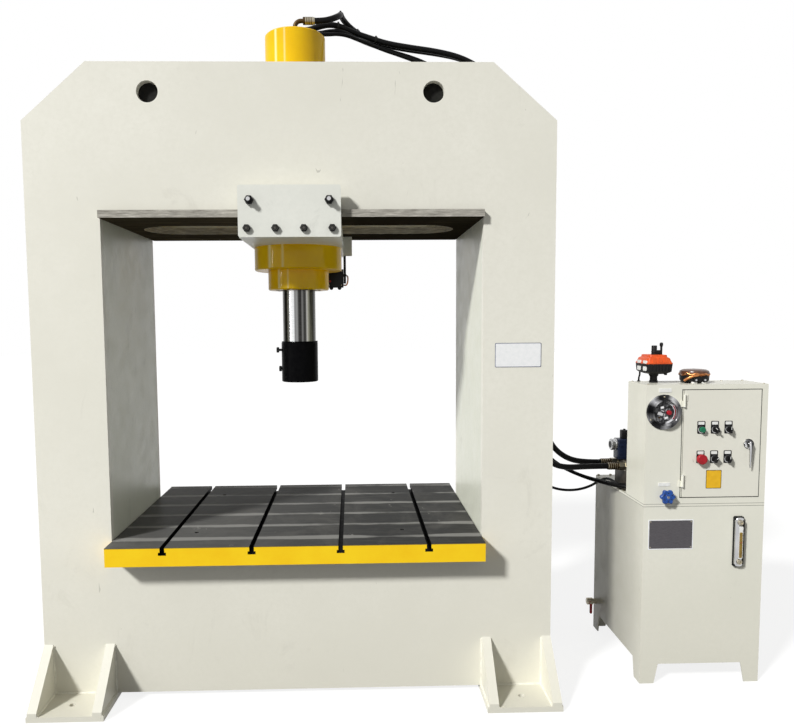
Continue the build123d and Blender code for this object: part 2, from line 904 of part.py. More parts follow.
with BuildPart() as clamp_screws:
    screw_seats = (rod_neck / 2, tool_socket / 2)
    for drop, reach, seat in zip(clamp_screw_drops, clamp_screw_reach, screw_seats):
        with BuildSketch(sideways(carriage_x - seat, 0, tool_top - drop)):
            Circle(clamp_screw / 2)
        extrude(amount=seat - tool_diameter / 2 - reach)
        with BuildSketch(sideways(carriage_x - tool_diameter / 2 - reach, 0, tool_top - drop)):
            Circle(clamp_screw_head / 2)
        extrude(amount=-clamp_screw_head_height)
clamp_screws.part.label = "clamp_screws"
export_step(clamp_screws.part, "parts/clamp_screws.step")

# Oil tank of the power station, open at the top under its lid
with BuildPart() as oil_tank:
    with BuildSketch(level(tank_bottom, station_x, tank_middle_y)):
        Rectangle(station_width, tank_depth)
    extrude(amount=tank_height)
    with BuildSketch(level(tank_bottom + tank_wall, station_x, tank_middle_y)):
        Rectangle(station_width - 2 * tank_wall, tank_depth - 2 * tank_wall)
    extrude(amount=tank_height - tank_wall, mode=Mode.SUBTRACT)
oil_tank.part.label = "oil_tank"
export_step(oil_tank.part, "parts/oil_tank.step")

# Four folded legs: each is an angle whose inner edges slant towards the floor
with BuildPart() as tank_legs:
    for leg_x, x_sign in ((station_left, 1), (station_right, -1)):
        for leg_y, y_sign in ((station_front, 1), (tank_rear, -1)):
            with BuildSketch(facing(leg_y, leg_x, 0)):
                with BuildLine():
                    Polyline(
                        (0, 0),
                        (x_sign * leg_foot_width, 0),
                        (x_sign * leg_top_width, tank_bottom),
                        (0, tank_bottom),
                        close=True,
                    )
                make_face()
            extrude(amount=-y_sign * leg_plate)
            with BuildSketch(sideways(leg_x, leg_y, 0)):
                with BuildLine():
                    Polyline(
                        (0, 0),
                        (y_sign * leg_foot_width, 0),
                        (y_sign * leg_top_width, tank_bottom),
                        (0, tank_bottom),
                        close=True,
                    )
                make_face()
            extrude(amount=x_sign * leg_plate)
tank_legs.part.label = "tank_legs"
export_step(tank_legs.part, "parts/tank_legs.step")

with BuildPart() as tank_lid:
    with BuildSketch(level(lid_bottom, station_x, tank_middle_y)):
        Rectangle(station_width, tank_depth)
    extrude(amount=lid_thickness)
    with BuildSketch(level(lid_bottom, motor_x, motor_y)):
        Circle(shaft_hole / 2)
    extrude(amount=lid_thickness, mode=Mode.SUBTRACT)
    with BuildSketch(level(lid_top, cover_x, cover_y)):
        Circle(cover_diameter / 2)
    extrude(amount=cover_thickness)
    with BuildSketch(level(lid_top + cover_thickness, cover_x, cover_y)):
        hexagon(cover_nut)
    extrude(amount=cover_nut_height)
tank_lid.part.label = "tank_lid"
export_step(tank_lid.part, "parts/tank_lid.step")

# Upright motor on the lid, with the pump and its suction strainer hanging in the tank
motor_base = lid_top + motor_flange_thickness
fan_cover_z = motor_base + motor_length
terminal_y = motor_y + motor_body / 2 + motor_fin_reach
strainer_z = tank_bottom + tank_wall + strainer_clearance
with BuildPart() as motor_pump_unit:
    with BuildSketch(level(lid_top, motor_x, motor_y)):
        Circle(motor_flange / 2)
    extrude(amount=motor_flange_thickness)
    with BuildSketch(level(motor_base, motor_x, motor_y)):
        Circle(motor_body / 2)
        with PolarLocations(motor_body / 2, motor_fins):
            Rectangle(2 * motor_fin_reach, motor_fin)
    extrude(amount=motor_length)
    with BuildSketch(level(fan_cover_z, motor_x, motor_y)):
        Circle(motor_body / 2 + motor_fin_reach)
    extrude(amount=fan_cover_length)
    fillet(edges().filter_by(GeomType.CIRCLE).sort_by(Axis.Z)[-1], motor_fin_reach)
    with BuildSketch(level(motor_base + motor_length / 2, motor_x, terminal_y)):
        Rectangle(terminal_box, terminal_box)
    extrude(amount=terminal_box / 2, both=True)
    with BuildSketch(level(lid_top, motor_x, motor_y)):
        Circle(shaft_hole / 2 - shaft_clearance)
    extrude(amount=-lid_thickness)
    with BuildSketch(level(lid_bottom, motor_x, motor_y)):
        Circle(pump_diameter / 2)
    extrude(amount=-pump_height)
    with BuildSketch(level(strainer_z, motor_x, motor_y)):
        Circle(suction_pipe / 2)
    extrude(amount=lid_bottom - pump_height - strainer_z)
    with BuildSketch(level(strainer_z, motor_x, motor_y)):
        Circle(strainer_diameter / 2)
    extrude(amount=strainer_height)
motor_pump_unit.part.label = "motor_pump_unit"
export_step(motor_pump_unit.part, "parts/motor_pump_unit.step")

# Manifold block on the lid behind the control box, with a solenoid valve on top
manifold_x = manifold_left + manifold_width / 2
manifold_y = manifold_front + manifold_depth / 2
manifold_top = lid_top + manifold_height
with BuildPart() as valve_manifold:
    with BuildSketch(level(lid_top, manifold_x, manifold_y)):
        Rectangle(manifold_width, manifold_depth)
    extrude(amount=manifold_height)
    with BuildSketch(facing(manifold_front, manifold_x, port_z)):
        Circle(manifold_plug / 2)
    extrude(amount=manifold_plug_height)
valve_manifold.part.label = "valve_manifold"
export_step(valve_manifold.part, "parts/valve_manifold.step")

coil_left = manifold_left - coil_overhang
coil_axis_z = manifold_top + coil_height - coil_nut / 2 - coil_edge
plug_x = coil_left + coil_length - plug_width / 2
with BuildPart() as solenoid_valve:
    with BuildSketch(level(manifold_top, coil_left + coil_length + valve_width / 2, manifold_y)):
        Rectangle(valve_width, valve_depth)
    extrude(amount=valve_height)
    with BuildSketch(sideways(coil_left, manifold_y, manifold_top + coil_height / 2)):
        RectangleRounded(coil_depth, coil_height, coil_corner)
    extrude(amount=coil_length)
    with BuildSketch(sideways(coil_left, manifold_y, coil_axis_z)):
        Circle(coil_nut / 2)
    extrude(amount=-coil_nut_length)
    with BuildSketch(level(manifold_top + coil_height, plug_x, manifold_y)):
        Rectangle(plug_width, plug_depth)
    extrude(amount=plug_height)
solenoid_valve.part.label = "solenoid_valve"
export_step(solenoid_valve.part, "parts/solenoid_valve.step")

# Hose and cable fittings: two ports of the manifold, the cable glands of the junction box behind
# the control box, the gland on the column, and the drain tap at the foot of the tank
junction_y = box_rear + junction_depth / 2
gland_z = lid_top + junction_gland_height
with BuildPart() as hose_fittings:
    for port_y in (port_a_y, port_b_y):
        with BuildSketch(sideways(manifold_left, port_y, port_z)):
            hexagon(station_hex)
        extrude(amount=-station_hex_length)
        with BuildSketch(sideways(manifold_left - station_hex_length, port_y, port_z)):
            Circle(ferrule_diameter / 2)
        extrude(amount=-station_ferrule_length)
    with BuildSketch(level(lid_top, junction_left + junction_width / 2, junction_y)):
        Rectangle(junction_width, junction_depth)
    extrude(amount=junction_height)
    for gland_y in junction_gland_ys:
        with BuildSketch(sideways(junction_left, gland_y, gland_z)):
            Circle(box_gland_diameter / 2)
        extrude(amount=-box_gland_length)
    with BuildSketch(sideways(half_width, column_gland_y, column_gland_z)):
        Circle(box_gland_diameter / 2)
    extrude(amount=box_gland_length)
    with BuildSketch(sideways(station_left, drain_y, drain_z)):
        Circle(drain_pipe / 2)
    extrude(amount=-drain_nipple)
    with BuildSketch(sideways(station_left - drain_nipple, drain_y, drain_z)):
        Circle(drain_body / 2)
    extrude(amount=-drain_body_length)
    with BuildSketch(facing(drain_y - drain_body / 2 + drain_stem / 2, drain_stem_x, drain_z)):
        Circle(drain_stem / 2)
    extrude(amount=drain_stem / 2 + drain_stem_length)
hose_fittings.part.label = "hose_fittings"
export_step(hose_fittings.part, "parts/hose_fittings.step")

with BuildPart() as drain_lever:
    lever_back = drain_y - drain_body / 2 - drain_lever_gap
    with BuildSketch(facing(lever_back, drain_stem_x, drain_z)):
        with Locations(Rotation(0, 0, drain_lever_angle)):
            with Locations((drain_lever_length / 2, 0)):
                SlotOverall(drain_lever_length + drain_lever_width, drain_lever_width)
        Circle(drain_lever_width / 2)
        Circle(drain_stem / 2 + lever_fit, mode=Mode.SUBTRACT)
    extrude(amount=drain_lever_thickness)
drain_lever.part.label = "drain_lever"
export_step(drain_lever.part, "parts/drain_lever.step")

# Control box on the front of the lid: a shell with the door opening and the gauge hole
door_x = door_left + door_width / 2
door_z = door_bottom + door_height / 2
with BuildPart() as control_box:
    with BuildSketch(level(lid_top, station_x, station_front + box_depth / 2)):
        Rectangle(station_width, box_depth)
    extrude(amount=box_height)
    with BuildSketch(level(lid_top + box_wall, station_x, station_front + box_depth / 2)):
        Rectangle(station_width - 2 * box_wall, box_depth - 2 * box_wall)
    extrude(amount=box_height - 2 * box_wall, mode=Mode.SUBTRACT)
    with BuildSketch(facing(station_front + box_wall)):
        with Locations((door_x, door_z)):
            Rectangle(door_width + 2 * door_gap, door_height + 2 * door_gap)
        with Locations((gauge_x, gauge_z)):
            Circle(gauge_case / 2 + gauge_clearance)
        with Locations((wheel_x, wheel_z)):
            Circle(wheel_stem / 2 + stem_play)
    extrude(amount=box_wall, mode=Mode.SUBTRACT)
    leaf_y = station_front - (door_proud + door_sheet) / 2
    for hinge_z in hinge_heights:
        with BuildSketch(level(hinge_z, hinge_x, hinge_y)):
            Circle(hinge_radius)
        extrude(amount=hinge_length / 2)
        with BuildSketch(level(hinge_z, hinge_x - hinge_leaf / 2, leaf_y)):
            Rectangle(hinge_leaf, door_proud + door_sheet)
        extrude(amount=hinge_length / 2)
        with BuildSketch(level(hinge_z, hinge_x, hinge_y)):
            Circle(hinge_pin / 2)
        extrude(amount=hinge_length)
control_box.part.label = "control_box"
export_step(control_box.part, "parts/control_box.step")

# Mounting plate with contactors and terminals at the back of the control box
plate_front = box_rear - box_wall - mounting_plate_stand_off - mounting_plate_thickness
plate_z = lid_top + box_height / 2
stand_off_x_pitch = mounting_plate_width - stand_off_inset
stand_off_z_pitch = mounting_plate_height - stand_off_inset
with BuildPart() as electrical_plate:
    with BuildSketch(facing(plate_front + mounting_plate_thickness, station_x, plate_z)):
        Rectangle(mounting_plate_width, mounting_plate_height)
    extrude(amount=mounting_plate_thickness)
    with BuildSketch(facing(box_rear - box_wall, station_x, plate_z)):
        with GridLocations(stand_off_x_pitch, stand_off_z_pitch, 2, 2):
            Circle(stand_off / 2)
    extrude(amount=mounting_plate_stand_off)
    contactor_width, contactor_depth, contactor_height = contactor
    with BuildSketch(facing(plate_front, station_x, plate_z + contactor_rise)):
        with GridLocations(contactor_width + contactor_gap, 0, contactor_count, 1):
            Rectangle(contactor_width, contactor_height)
    extrude(amount=contactor_depth)
    strip_width, strip_depth, strip_height = terminal_strip
    with BuildSketch(facing(plate_front, station_x, plate_z - contactor_rise)):
        Rectangle(strip_width, strip_height)
    extrude(amount=strip_depth)
electrical_plate.part.label = "electrical_plate"
export_step(electrical_plate.part, "parts/electrical_plate.step")

# Door of folded sheet with holes for the buttons and the lock
door_back = door_face + door_sheet
with BuildPart() as door:
    with BuildSketch(facing(door_face + door_return, door_x, door_z)):
        Rectangle(door_width, door_height)
    extrude(amount=door_return)
    with BuildSketch(facing(door_face + door_return, door_x, door_z)):
        Rectangle(door_width - 2 * door_sheet, door_height - 2 * door_sheet)
    extrude(amount=door_return - door_sheet, mode=Mode.SUBTRACT)
    with BuildSketch(facing(door_back)):
        for button_x in button_xs:
            for button_z in button_rows:
                with Locations((button_x, button_z)):
                    Circle(button_hole / 2)
        with Locations((lock_x, lock_z)):
            Circle(lock_stem / 2 + stem_play)
    extrude(amount=door_sheet, mode=Mode.SUBTRACT)
    for hinge_z in hinge_heights:
        knuckle_z = hinge_z + hinge_length / 2 + hinge_play
        with BuildSketch(level(knuckle_z, hinge_x, hinge_y)):
            Circle(hinge_radius)
        extrude(amount=hinge_length / 2 - hinge_play)
        with BuildSketch(level(knuckle_z, hinge_x + hinge_leaf / 2, door_face - door_sheet / 2)):
            Rectangle(hinge_leaf, door_sheet)
        extrude(amount=hinge_length / 2 - hinge_play)
        with BuildSketch(level(knuckle_z, hinge_x, hinge_y)):
            Circle(hinge_pin / 2 + hinge_fit)
        extrude(amount=hinge_length / 2 - hinge_play, mode=Mode.SUBTRACT)
door.part.label = "door"
export_step(door.part, "parts/door.step")

# Housings of the six push buttons and selectors, clamped in the door
bezel_front = door_face - bezel_height
with BuildPart() as button_housings:
    for button_x in button_xs:
        for button_z in button_rows:
            with BuildSketch(facing(door_face, button_x, button_z)):
                Circle(bezel_diameter / 2)
            extrude(amount=bezel_height)
            with BuildSketch(facing(door_face, button_x, button_z)):
                Circle(button_hole / 2)
            extrude(amount=-housing_length)
            with BuildSketch(facing(door_face + housing_length, button_x, button_z)):
                Rectangle(contact_block[0], contact_block[1])
            extrude(amount=-contact_block[2])
            with BuildSketch(facing(bezel_front, button_x, button_z)):
                Circle(shank_diameter / 2 + shank_play)
            extrude(amount=-bezel_height - housing_length, mode=Mode.SUBTRACT)
button_housings.part.label = "button_housings"
export_step(button_housings.part, "parts/button_housings.step")

# Push buttons: a cap on a shank that slides in its housing
shank_end = door_face + housing_length - button_travel - shank_play
cap_back = bezel_front - button_travel - shank_play
push_buttons = (("start_button", button_rows[0], push_cap, push_cap_height, push_cap_round),
                ("stop_button", button_rows[1], stop_cap, stop_cap_height, stop_cap_round))
for button_name, button_z, cap_size, cap_length, cap_round in push_buttons:
    with BuildPart() as button:
        with BuildSketch(facing(cap_back, button_xs[0], button_z)):
            Circle(cap_size / 2)
        extrude(amount=cap_length)
        fillet(edges().filter_by(GeomType.CIRCLE).sort_by(Axis.Y)[0], cap_round)
        with BuildSketch(facing(shank_end, button_xs[0], button_z)):
            Circle(shank_diameter / 2)
        extrude(amount=shank_end - cap_back)
    button.part.label = button_name
    export_step(button.part, f"parts/{button_name}.step")

# Selector knobs: a disc with a grip bar, on a shank that turns in its housing
selector_places = [(button_x, button_z) for button_z in button_rows for button_x in button_xs[1:]]
for number, ((knob_x, knob_z), knob_angle) in enumerate(zip(selector_places, selector_angles), start=1):
    with BuildPart() as knob:
        with BuildSketch(facing(bezel_front - shank_play, knob_x, knob_z)):
            Circle(knob_diameter / 2)
        extrude(amount=knob_height)
        with BuildSketch(facing(bezel_front - shank_play - knob_height, knob_x, knob_z)):
            with Locations(Rotation(0, 0, knob_angle)):
                SlotOverall(knob_diameter - 2 * knob_edge, knob_bar_width, rotation=90)
        extrude(amount=knob_bar_height)
        with BuildSketch(facing(shank_end, knob_x, knob_z)):
            Circle(shank_diameter / 2)
        extrude(amount=shank_end - bezel_front + shank_play)
    knob.part.label = f"selector_{number}"
    export_step(knob.part, f"parts/selector_{number}.step")

# Lock handle: a round base, a stem through the door and a hanging lever
with BuildPart() as lock_handle:
    with BuildSketch(facing(door_face - shank_play, lock_x, lock_z)):
        Circle(lock_base / 2)
    extrude(amount=lock_base_height)
    with BuildSketch(facing(door_back + lock_tail, lock_x, lock_z)):
        Circle(lock_stem / 2)
    extrude(amount=lock_tail + door_sheet + lock_stand_off)
    with BuildSketch(facing(door_face - lock_stand_off, lock_x, lock_z)):
        Circle(lock_hub / 2)
        with BuildLine():
            Polyline(
                (-lock_lever_width / 2, 0),
                (-lock_lever_tip / 2, -lock_lever_length),
                (lock_lever_tip / 2, -lock_lever_length),
                (lock_lever_width / 2, 0),
                close=True,
            )
        make_face()
    extrude(amount=lock_lever_thickness)
    with BuildSketch(facing(door_back + lock_tail, lock_x, lock_z)):
        with Locations((0, lock_stem / 2 - lock_tongue_length / 2)):
            Rectangle(lock_lever_width, lock_tongue_length)
    extrude(amount=lock_tongue)
lock_handle.part.label = "lock_handle"
export_step(lock_handle.part, "parts/lock_handle.step")

# Pressure gauge in the box front: flange, bezel with a recessed dial, and the case behind
flange_front = station_front - gauge_flange_thickness
bezel_front_y = flange_front - gauge_bezel_height
dial_y = flange_front - gauge_dial_height
socket_z = gauge_z - gauge_case / 2 - gauge_socket_length
with BuildPart() as pressure_gauge:
    with BuildSketch(facing(station_front, gauge_x, gauge_z)):
        Circle(gauge_flange / 2)
    extrude(amount=gauge_flange_thickness)
    with BuildSketch(facing(flange_front, gauge_x, gauge_z)):
        Circle(gauge_bezel / 2)
    extrude(amount=gauge_bezel_height)
    with BuildSketch(facing(dial_y, gauge_x, gauge_z)):
        Circle(gauge_dial / 2)
    extrude(amount=gauge_bezel_height - gauge_dial_height, mode=Mode.SUBTRACT)
    with BuildSketch(facing(station_front, gauge_x, gauge_z)):
        Circle(gauge_case / 2)
    extrude(amount=-gauge_case_depth)
    with BuildSketch(facing(dial_y, gauge_x, gauge_z)):
        Circle(needle_pin / 2)
    extrude(amount=needle_gap + needle_thickness)
    with BuildSketch(level(socket_z, gauge_x + gauge_socket_x, pipe_y)):
        Circle(gauge_socket / 2)
    extrude(amount=gauge_socket_length + gauge_socket_bite)
pressure_gauge.part.label = "pressure_gauge"
export_step(pressure_gauge.part, "parts/pressure_gauge.step")

with BuildPart() as gauge_needle:
    with BuildSketch(facing(dial_y - needle_gap, gauge_x, gauge_z)):
        with Locations(Rotation(0, 0, needle_angle)):
            with BuildLine():
                Polyline(
                    (-needle_tail, -needle_width / 2),
                    (needle_length, 0),
                    (-needle_tail, needle_width / 2),
                    close=True,
                )
            make_face()
        Circle(needle_hub / 2)
        Circle(needle_pin / 2 + hinge_fit, mode=Mode.SUBTRACT)
    extrude(amount=needle_thickness)
gauge_needle.part.label = "gauge_needle"
export_step(gauge_needle.part, "parts/gauge_needle.step")

# Shut-off valve inside the box and the pipe from it to the gauge
shut_off_top = wheel_z + shut_off_body / 2
with BuildPart() as gauge_valve:
    with BuildSketch(facing(pipe_y + shut_off_body / 2, wheel_x, wheel_z)):
        Rectangle(shut_off_body, shut_off_body)
        Circle(wheel_stem / 2 + stem_play, mode=Mode.SUBTRACT)
    extrude(amount=pipe_y + shut_off_body / 2 - station_front - box_wall)
    with BuildSketch(level(shut_off_top, gauge_x + gauge_socket_x, pipe_y)):
        Circle(gauge_pipe / 2)
    extrude(amount=socket_z - shut_off_top)
gauge_valve.part.label = "gauge_valve"
export_step(gauge_valve.part, "parts/gauge_valve.step")

# Lobed handwheel of the shut-off valve
with BuildPart() as handwheel:
    with BuildSketch(facing(station_front - wheel_stand_off, wheel_x, wheel_z)):
        Circle(wheel_diameter / 2)
        with PolarLocations(wheel_diameter / 2 + wheel_cut_offset, wheel_lobes, start_angle=90):
            Circle(wheel_lobe_cut / 2, mode=Mode.SUBTRACT)
    extrude(amount=wheel_thickness)
    with BuildSketch(facing(pipe_y, wheel_x, wheel_z)):
        Circle(wheel_stem / 2)
    extrude(amount=pipe_y - station_front + wheel_stand_off)
handwheel.part.label = "handwheel"
export_step(handwheel.part, "parts/handwheel.step")

# Oil level gauge: a body with a window, held by two hollow bolts
level_z = level_bottom + level_height / 2
with BuildPart() as level_gauge:
    with BuildSketch(facing(station_front, level_x, level_z)):
        SlotOverall(level_height, level_width, rotation=90)
    extrude(amount=level_thickness)
    with BuildSketch(facing(station_front - level_thickness, level_x, level_z)):
        Rectangle(level_window[0], level_window[1])
    extrude(amount=-level_window_depth, mode=Mode.SUBTRACT)
    with BuildSketch(facing(station_front - level_thickness, level_x, level_z)):
        with GridLocations(0, level_height - 2 * level_bolt_drop, 1, 2):
            hexagon(level_bolt)
    extrude(amount=level_bolt_head)
level_gauge.part.label = "level_gauge"
export_step(level_gauge.part, "parts/level_gauge.step")

# Orange and black switch unit on a stem on top of the control box
unit_x = switch_unit_left + switch_unit_width / 2
unit_y = switch_unit_front + switch_unit_depth / 2
unit_z = box_top + switch_unit_rise
unit_middle = unit_z + switch_unit_base_height
unit_top = unit_middle + switch_unit_top_height
with BuildPart() as switch_unit:
    with BuildSketch(level(box_top, unit_x, unit_y)):
        Circle(switch_unit_stem / 2)
    extrude(amount=switch_unit_rise)
    with BuildSketch(level(unit_z, unit_x, unit_y)):
        RectangleRounded(switch_unit_width, switch_unit_depth, switch_unit_corner)
    extrude(amount=switch_unit_base_height)
    with BuildSketch(level(unit_middle, unit_x, unit_y)):
        RectangleRounded(switch_unit_width, switch_unit_depth, switch_unit_corner)
    with BuildSketch(level(unit_top, unit_x, unit_y)):
        RectangleRounded(switch_unit_width - switch_unit_taper, switch_unit_depth - switch_unit_taper,
                         switch_unit_corner / 2)
    loft()
    with BuildSketch(level(unit_top, unit_x, unit_y)):
        Circle(unit_gland / 2)
    extrude(amount=unit_gland_height)
    with BuildSketch(level(unit_top, unit_x + unit_lever_x, unit_y)):
        Circle(unit_lever / 2)
    extrude(amount=unit_lever_height)
switch_unit.part.label = "switch_unit"
export_step(switch_unit.part, "parts/switch_unit.step")

# Round unit wrapped in copper tube, on two feet
with BuildPart() as coil_unit:
    with BuildSketch(level(box_top)):
        with Locations((coil_unit_x, coil_unit_y)):
            with GridLocations(coil_unit_foot_pitch, coil_unit_foot_pitch, 2, 2):
                Circle(coil_unit_foot / 2)
    extrude(amount=coil_unit_foot_height)
    coil_unit_bottom = box_top + coil_unit_foot_height
    with BuildSketch(level(coil_unit_bottom, coil_unit_x, coil_unit_y)):
        Circle(coil_unit_diameter / 2)
    extrude(amount=coil_unit_base_height)
    with BuildSketch(level(coil_unit_bottom + coil_unit_base_height, coil_unit_x, coil_unit_y)):
        Circle(coil_unit_diameter / 2 - coil_tube / 2)
    extrude(amount=coil_unit_dome_height)
    fillet(edges().filter_by(GeomType.CIRCLE).sort_by(Axis.Z)[-1], coil_unit_dome_round)
coil_unit.part.label = "coil_unit"
export_step(coil_unit.part, "parts/coil_unit.step")

# Routes of the hoses and cables, from the cylinder over the right shoulder of the frame, down the
# outside of the column and across to the power station. Points above the beam are measured from the
# carriage and the top of the beam, points on the shoulder from the side and the top of the frame,
# and points by the station from its left side and its lid. Points beside the column have their
# height as a share of the way from the lid up to the top of the beam.
cap_above_beam = [
    (161, 13, 306), (187, 49, 333), (190, 101, 357), (204, 150, 352),
    (237, 182, 331), (293, 193, 298), (378, 190, 266), (488, 188, 246),
]
cap_on_shoulder = [
    (-400, 188, 231), (-290, 186, 210), (-198, 182, 168), (-115, 178, 104), (-42, 172, 10),
    (18, 164, -114),
]
cap_beside_column = [
    (56, 154, 0.839), (68, 140, 0.721), (70, 124, 0.594), (68, 106, 0.464), (62, 88, 0.34),
    (58, 73, 0.234),
]
cap_by_station = [
    (-302, 61, 258), (-257, 54, 164), (-194, 51, 114),
]
rod_above_beam = [
    (92, 125, 317), (140, 131, 330), (190, 140, 325), (244, 152, 304), (304, 160, 288),
    (388, 162, 262), (498, 162, 244),
]
rod_on_shoulder = [
    (-390, 162, 228), (-285, 160, 202), (-200, 156, 156), (-120, 150, 90), (-43, 142, -4),
    (22, 132, -124),
]
rod_beside_column = [
    (58, 120, 0.835), (67, 104, 0.717), (67, 84, 0.594), (62, 60, 0.47), (56, 34, 0.352),
    (48, 8, 0.246),
]
rod_by_station = [
    (-334, -14, 268), (-328, -28, 168), (-288, -37, 108), (-224, -40, 91),
]
pilot_above_beam = [
    (138, 96, 288), (180, 106, 294), (222, 122, 287), (262, 144, 272), (310, 167, 261),
    (382, 180, 242), (468, 183, 222),
]
pilot_on_shoulder = [
    (-455, 180, 192), (-380, 176, 152), (-310, 172, 108), (-240, 168, 58), (-172, 164, -2),
    (-108, 159, -66), (-46, 153, -132), (10, 149, -196),
]
pilot_beside_column = [
    (26, 147, 0.829), (22, 147, 0.735), (19, 148, 0.617), (18, 148.5, 0.488), (18, 149, 0.358),
    (20, 148, 0.258), (28, 146, 0.184),
]
pilot_by_station = [
    (-324, 143, 203), (-282, 137, 130), (-228, 128, 82), (-166, 108, 46), (-104, 72, 24),
    (-48, 24, 15), (-12, -26, 15), (4, -74, 19), (38, -105, 24),
]
conduit_above_beam = [
    (176, 67, 265), (220, 82, 264), (264, 106, 256), (312, 134, 250), (374, 155, 233),
    (448, 162, 212),
]
conduit_on_shoulder = [
    (-480, 162, 184), (-405, 158, 146), (-335, 152, 100), (-265, 146, 48), (-197, 140, -10),
    (-130, 134, -70), (-62, 129, -130), (11, 125, -190),
]
conduit_beside_column = [
    (29, 123, 0.829), (21, 122, 0.735), (18, 121, 0.617), (17, 120.5, 0.488), (17, 120, 0.358),
    (19, 119, 0.258), (26, 117, 0.187),
]
conduit_by_station = [
    (-328, 114, 213), (-288, 110, 138), (-236, 102, 90), (-176, 80, 54), (-116, 38, 31),
    (-66, -18, 22), (-28, -76, 20), (14, -121, 22),
]
cable_by_station = [
    (-290, 151, -12), (-250, 153, -34), (-202, 156, -52), (-148, 158, -59), (-94, 156, -54),
    (-48, 147, -36), (-21, 120, -7), (-2, 84, 14), (8, 44, 16), (12, 4, 12), (14, -34, 10),
    (23, -68, 10), (53, -86, 16),
]


def hose_points(above_beam, on_shoulder, beside_column, by_station):
    """The middle of a hose's route, in the frame of the model."""
    points = [(carriage_x + x, y, frame_height + z) for x, y, z in above_beam]
    points += [(half_width + x, y, frame_height + z) for x, y, z in on_shoulder]
    rise = frame_height - lid_top
    points += [(half_width + x, y, lid_top + share * rise) for x, y, share in beside_column]
    points += [(station_left + x, y, lid_top + z) for x, y, z in by_station]
    return points


# Each hose leaves its fittings in a straight run along their axis
cap_port_x = carriage_x + ferrule_start + ferrule_length
rod_port_x = carriage_x + pipe_dx + ferrule_start + ferrule_length
station_port_x = manifold_left - station_hex_length - station_ferrule_length
gland_end_x = junction_left - box_gland_length
column_gland_x = half_width + box_gland_length
pilot_reach = pilot_ferrule_start + pilot_ferrule_length
(pilot_dx, pilot_y, pilot_rise), (conduit_dx, conduit_y, conduit_rise) = pilot_ports
pilot_x = carriage_x + pilot_dx + pilot_reach
conduit_x = carriage_x + conduit_dx + pilot_reach
cap_hose_route = [
    (cap_port_x, 0, port_z_top),
    (cap_port_x + cap_hose_leads[0], 0, port_z_top),
    *hose_points(cap_above_beam, cap_on_shoulder, cap_beside_column, cap_by_station),
    (station_port_x - cap_hose_leads[1], port_b_y, port_z),
    (station_port_x, port_b_y, port_z),
]
rod_hose_route = [
    (rod_port_x, pipe_dy, rod_port_z),
    (rod_port_x + rod_hose_leads[0], pipe_dy, rod_port_z),
    *hose_points(rod_above_beam, rod_on_shoulder, rod_beside_column, rod_by_station),
    (station_port_x - rod_hose_leads[1], port_a_y, port_z),
    (station_port_x, port_a_y, port_z),
]
pilot_hose_route = [
    (pilot_x, pilot_y, cap_top + pilot_rise),
    (pilot_x + pilot_hose_leads[0], pilot_y, cap_top + pilot_rise),
    *hose_points(pilot_above_beam, pilot_on_shoulder, pilot_beside_column, pilot_by_station),
    (gland_end_x - pilot_hose_leads[1], junction_gland_ys[1], gland_z),
    (gland_end_x, junction_gland_ys[1], gland_z),
]
switch_conduit_route = [
    (conduit_x, conduit_y, cap_top + conduit_rise),
    (conduit_x + conduit_leads[0], conduit_y, cap_top + conduit_rise),
    *hose_points(conduit_above_beam, conduit_on_shoulder, conduit_beside_column, conduit_by_station),
    (gland_end_x - conduit_leads[1], junction_gland_ys[0], gland_z),
    (gland_end_x, junction_gland_ys[0], gland_z),
]
column_cable_route = [
    (column_gland_x, column_gland_y, column_gland_z),
    (column_gland_x + cable_leads[0], column_gland_y, column_gland_z),
    *hose_points([], [], [], cable_by_station),
    (gland_end_x - cable_leads[1], junction_gland_ys[2], gland_z),
    (gland_end_x, junction_gland_ys[2], gland_z),
]


def corner_radii(route):
    """The largest arc that fits at each inner point of a route."""
    radii = []
    for before, corner, after in zip(route, route[1:], route[2:]):
        incoming = Vector(*corner) - Vector(*before)
        outgoing = Vector(*after) - Vector(*corner)
        half_turn = radians(incoming.get_angle(outgoing)) / 2
        radii.append(arc_share * min(incoming.length, outgoing.length) / tan(half_turn))
    return radii


cords = (
    ("hose_cap", cap_hose_route, pressure_hose),
    ("hose_rod", rod_hose_route, pressure_hose),
    ("hose_pilot", pilot_hose_route, pilot_hose),
    ("conduit_switch", switch_conduit_route, pilot_hose),
    ("cable_column", column_cable_route, frame_cable),
)
for cord_name, route, diameter in cords:
    radii = corner_radii(route)
    with BuildPart() as cord:
        with BuildLine() as cord_line:
            FilletPolyline(*route, radius=radii)
        with BuildSketch(Plane(route[0], z_dir=Vector(*route[1]) - Vector(*route[0]))):
            Circle(diameter / 2)
        sweep()
    cord_length = sum(edge.length for edge in cord_line.edges())
    volume_ratio = cord.part.volume / (pi * diameter ** 2 / 4 * cord_length)
    print(cord_name, "length", round(cord_length), "volume ratio", round(volume_ratio, 4))
    print("arc radii", [round(radius) for radius in radii])
    cord.part.label = cord_name
    export_step(cord.part, f"parts/{cord_name}.step")
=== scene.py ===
"""Looks of a gantry hydraulic press with a travelling cylinder and its separate power station."""
import math

import bmesh
import bpy
from mathutils import Matrix, Vector


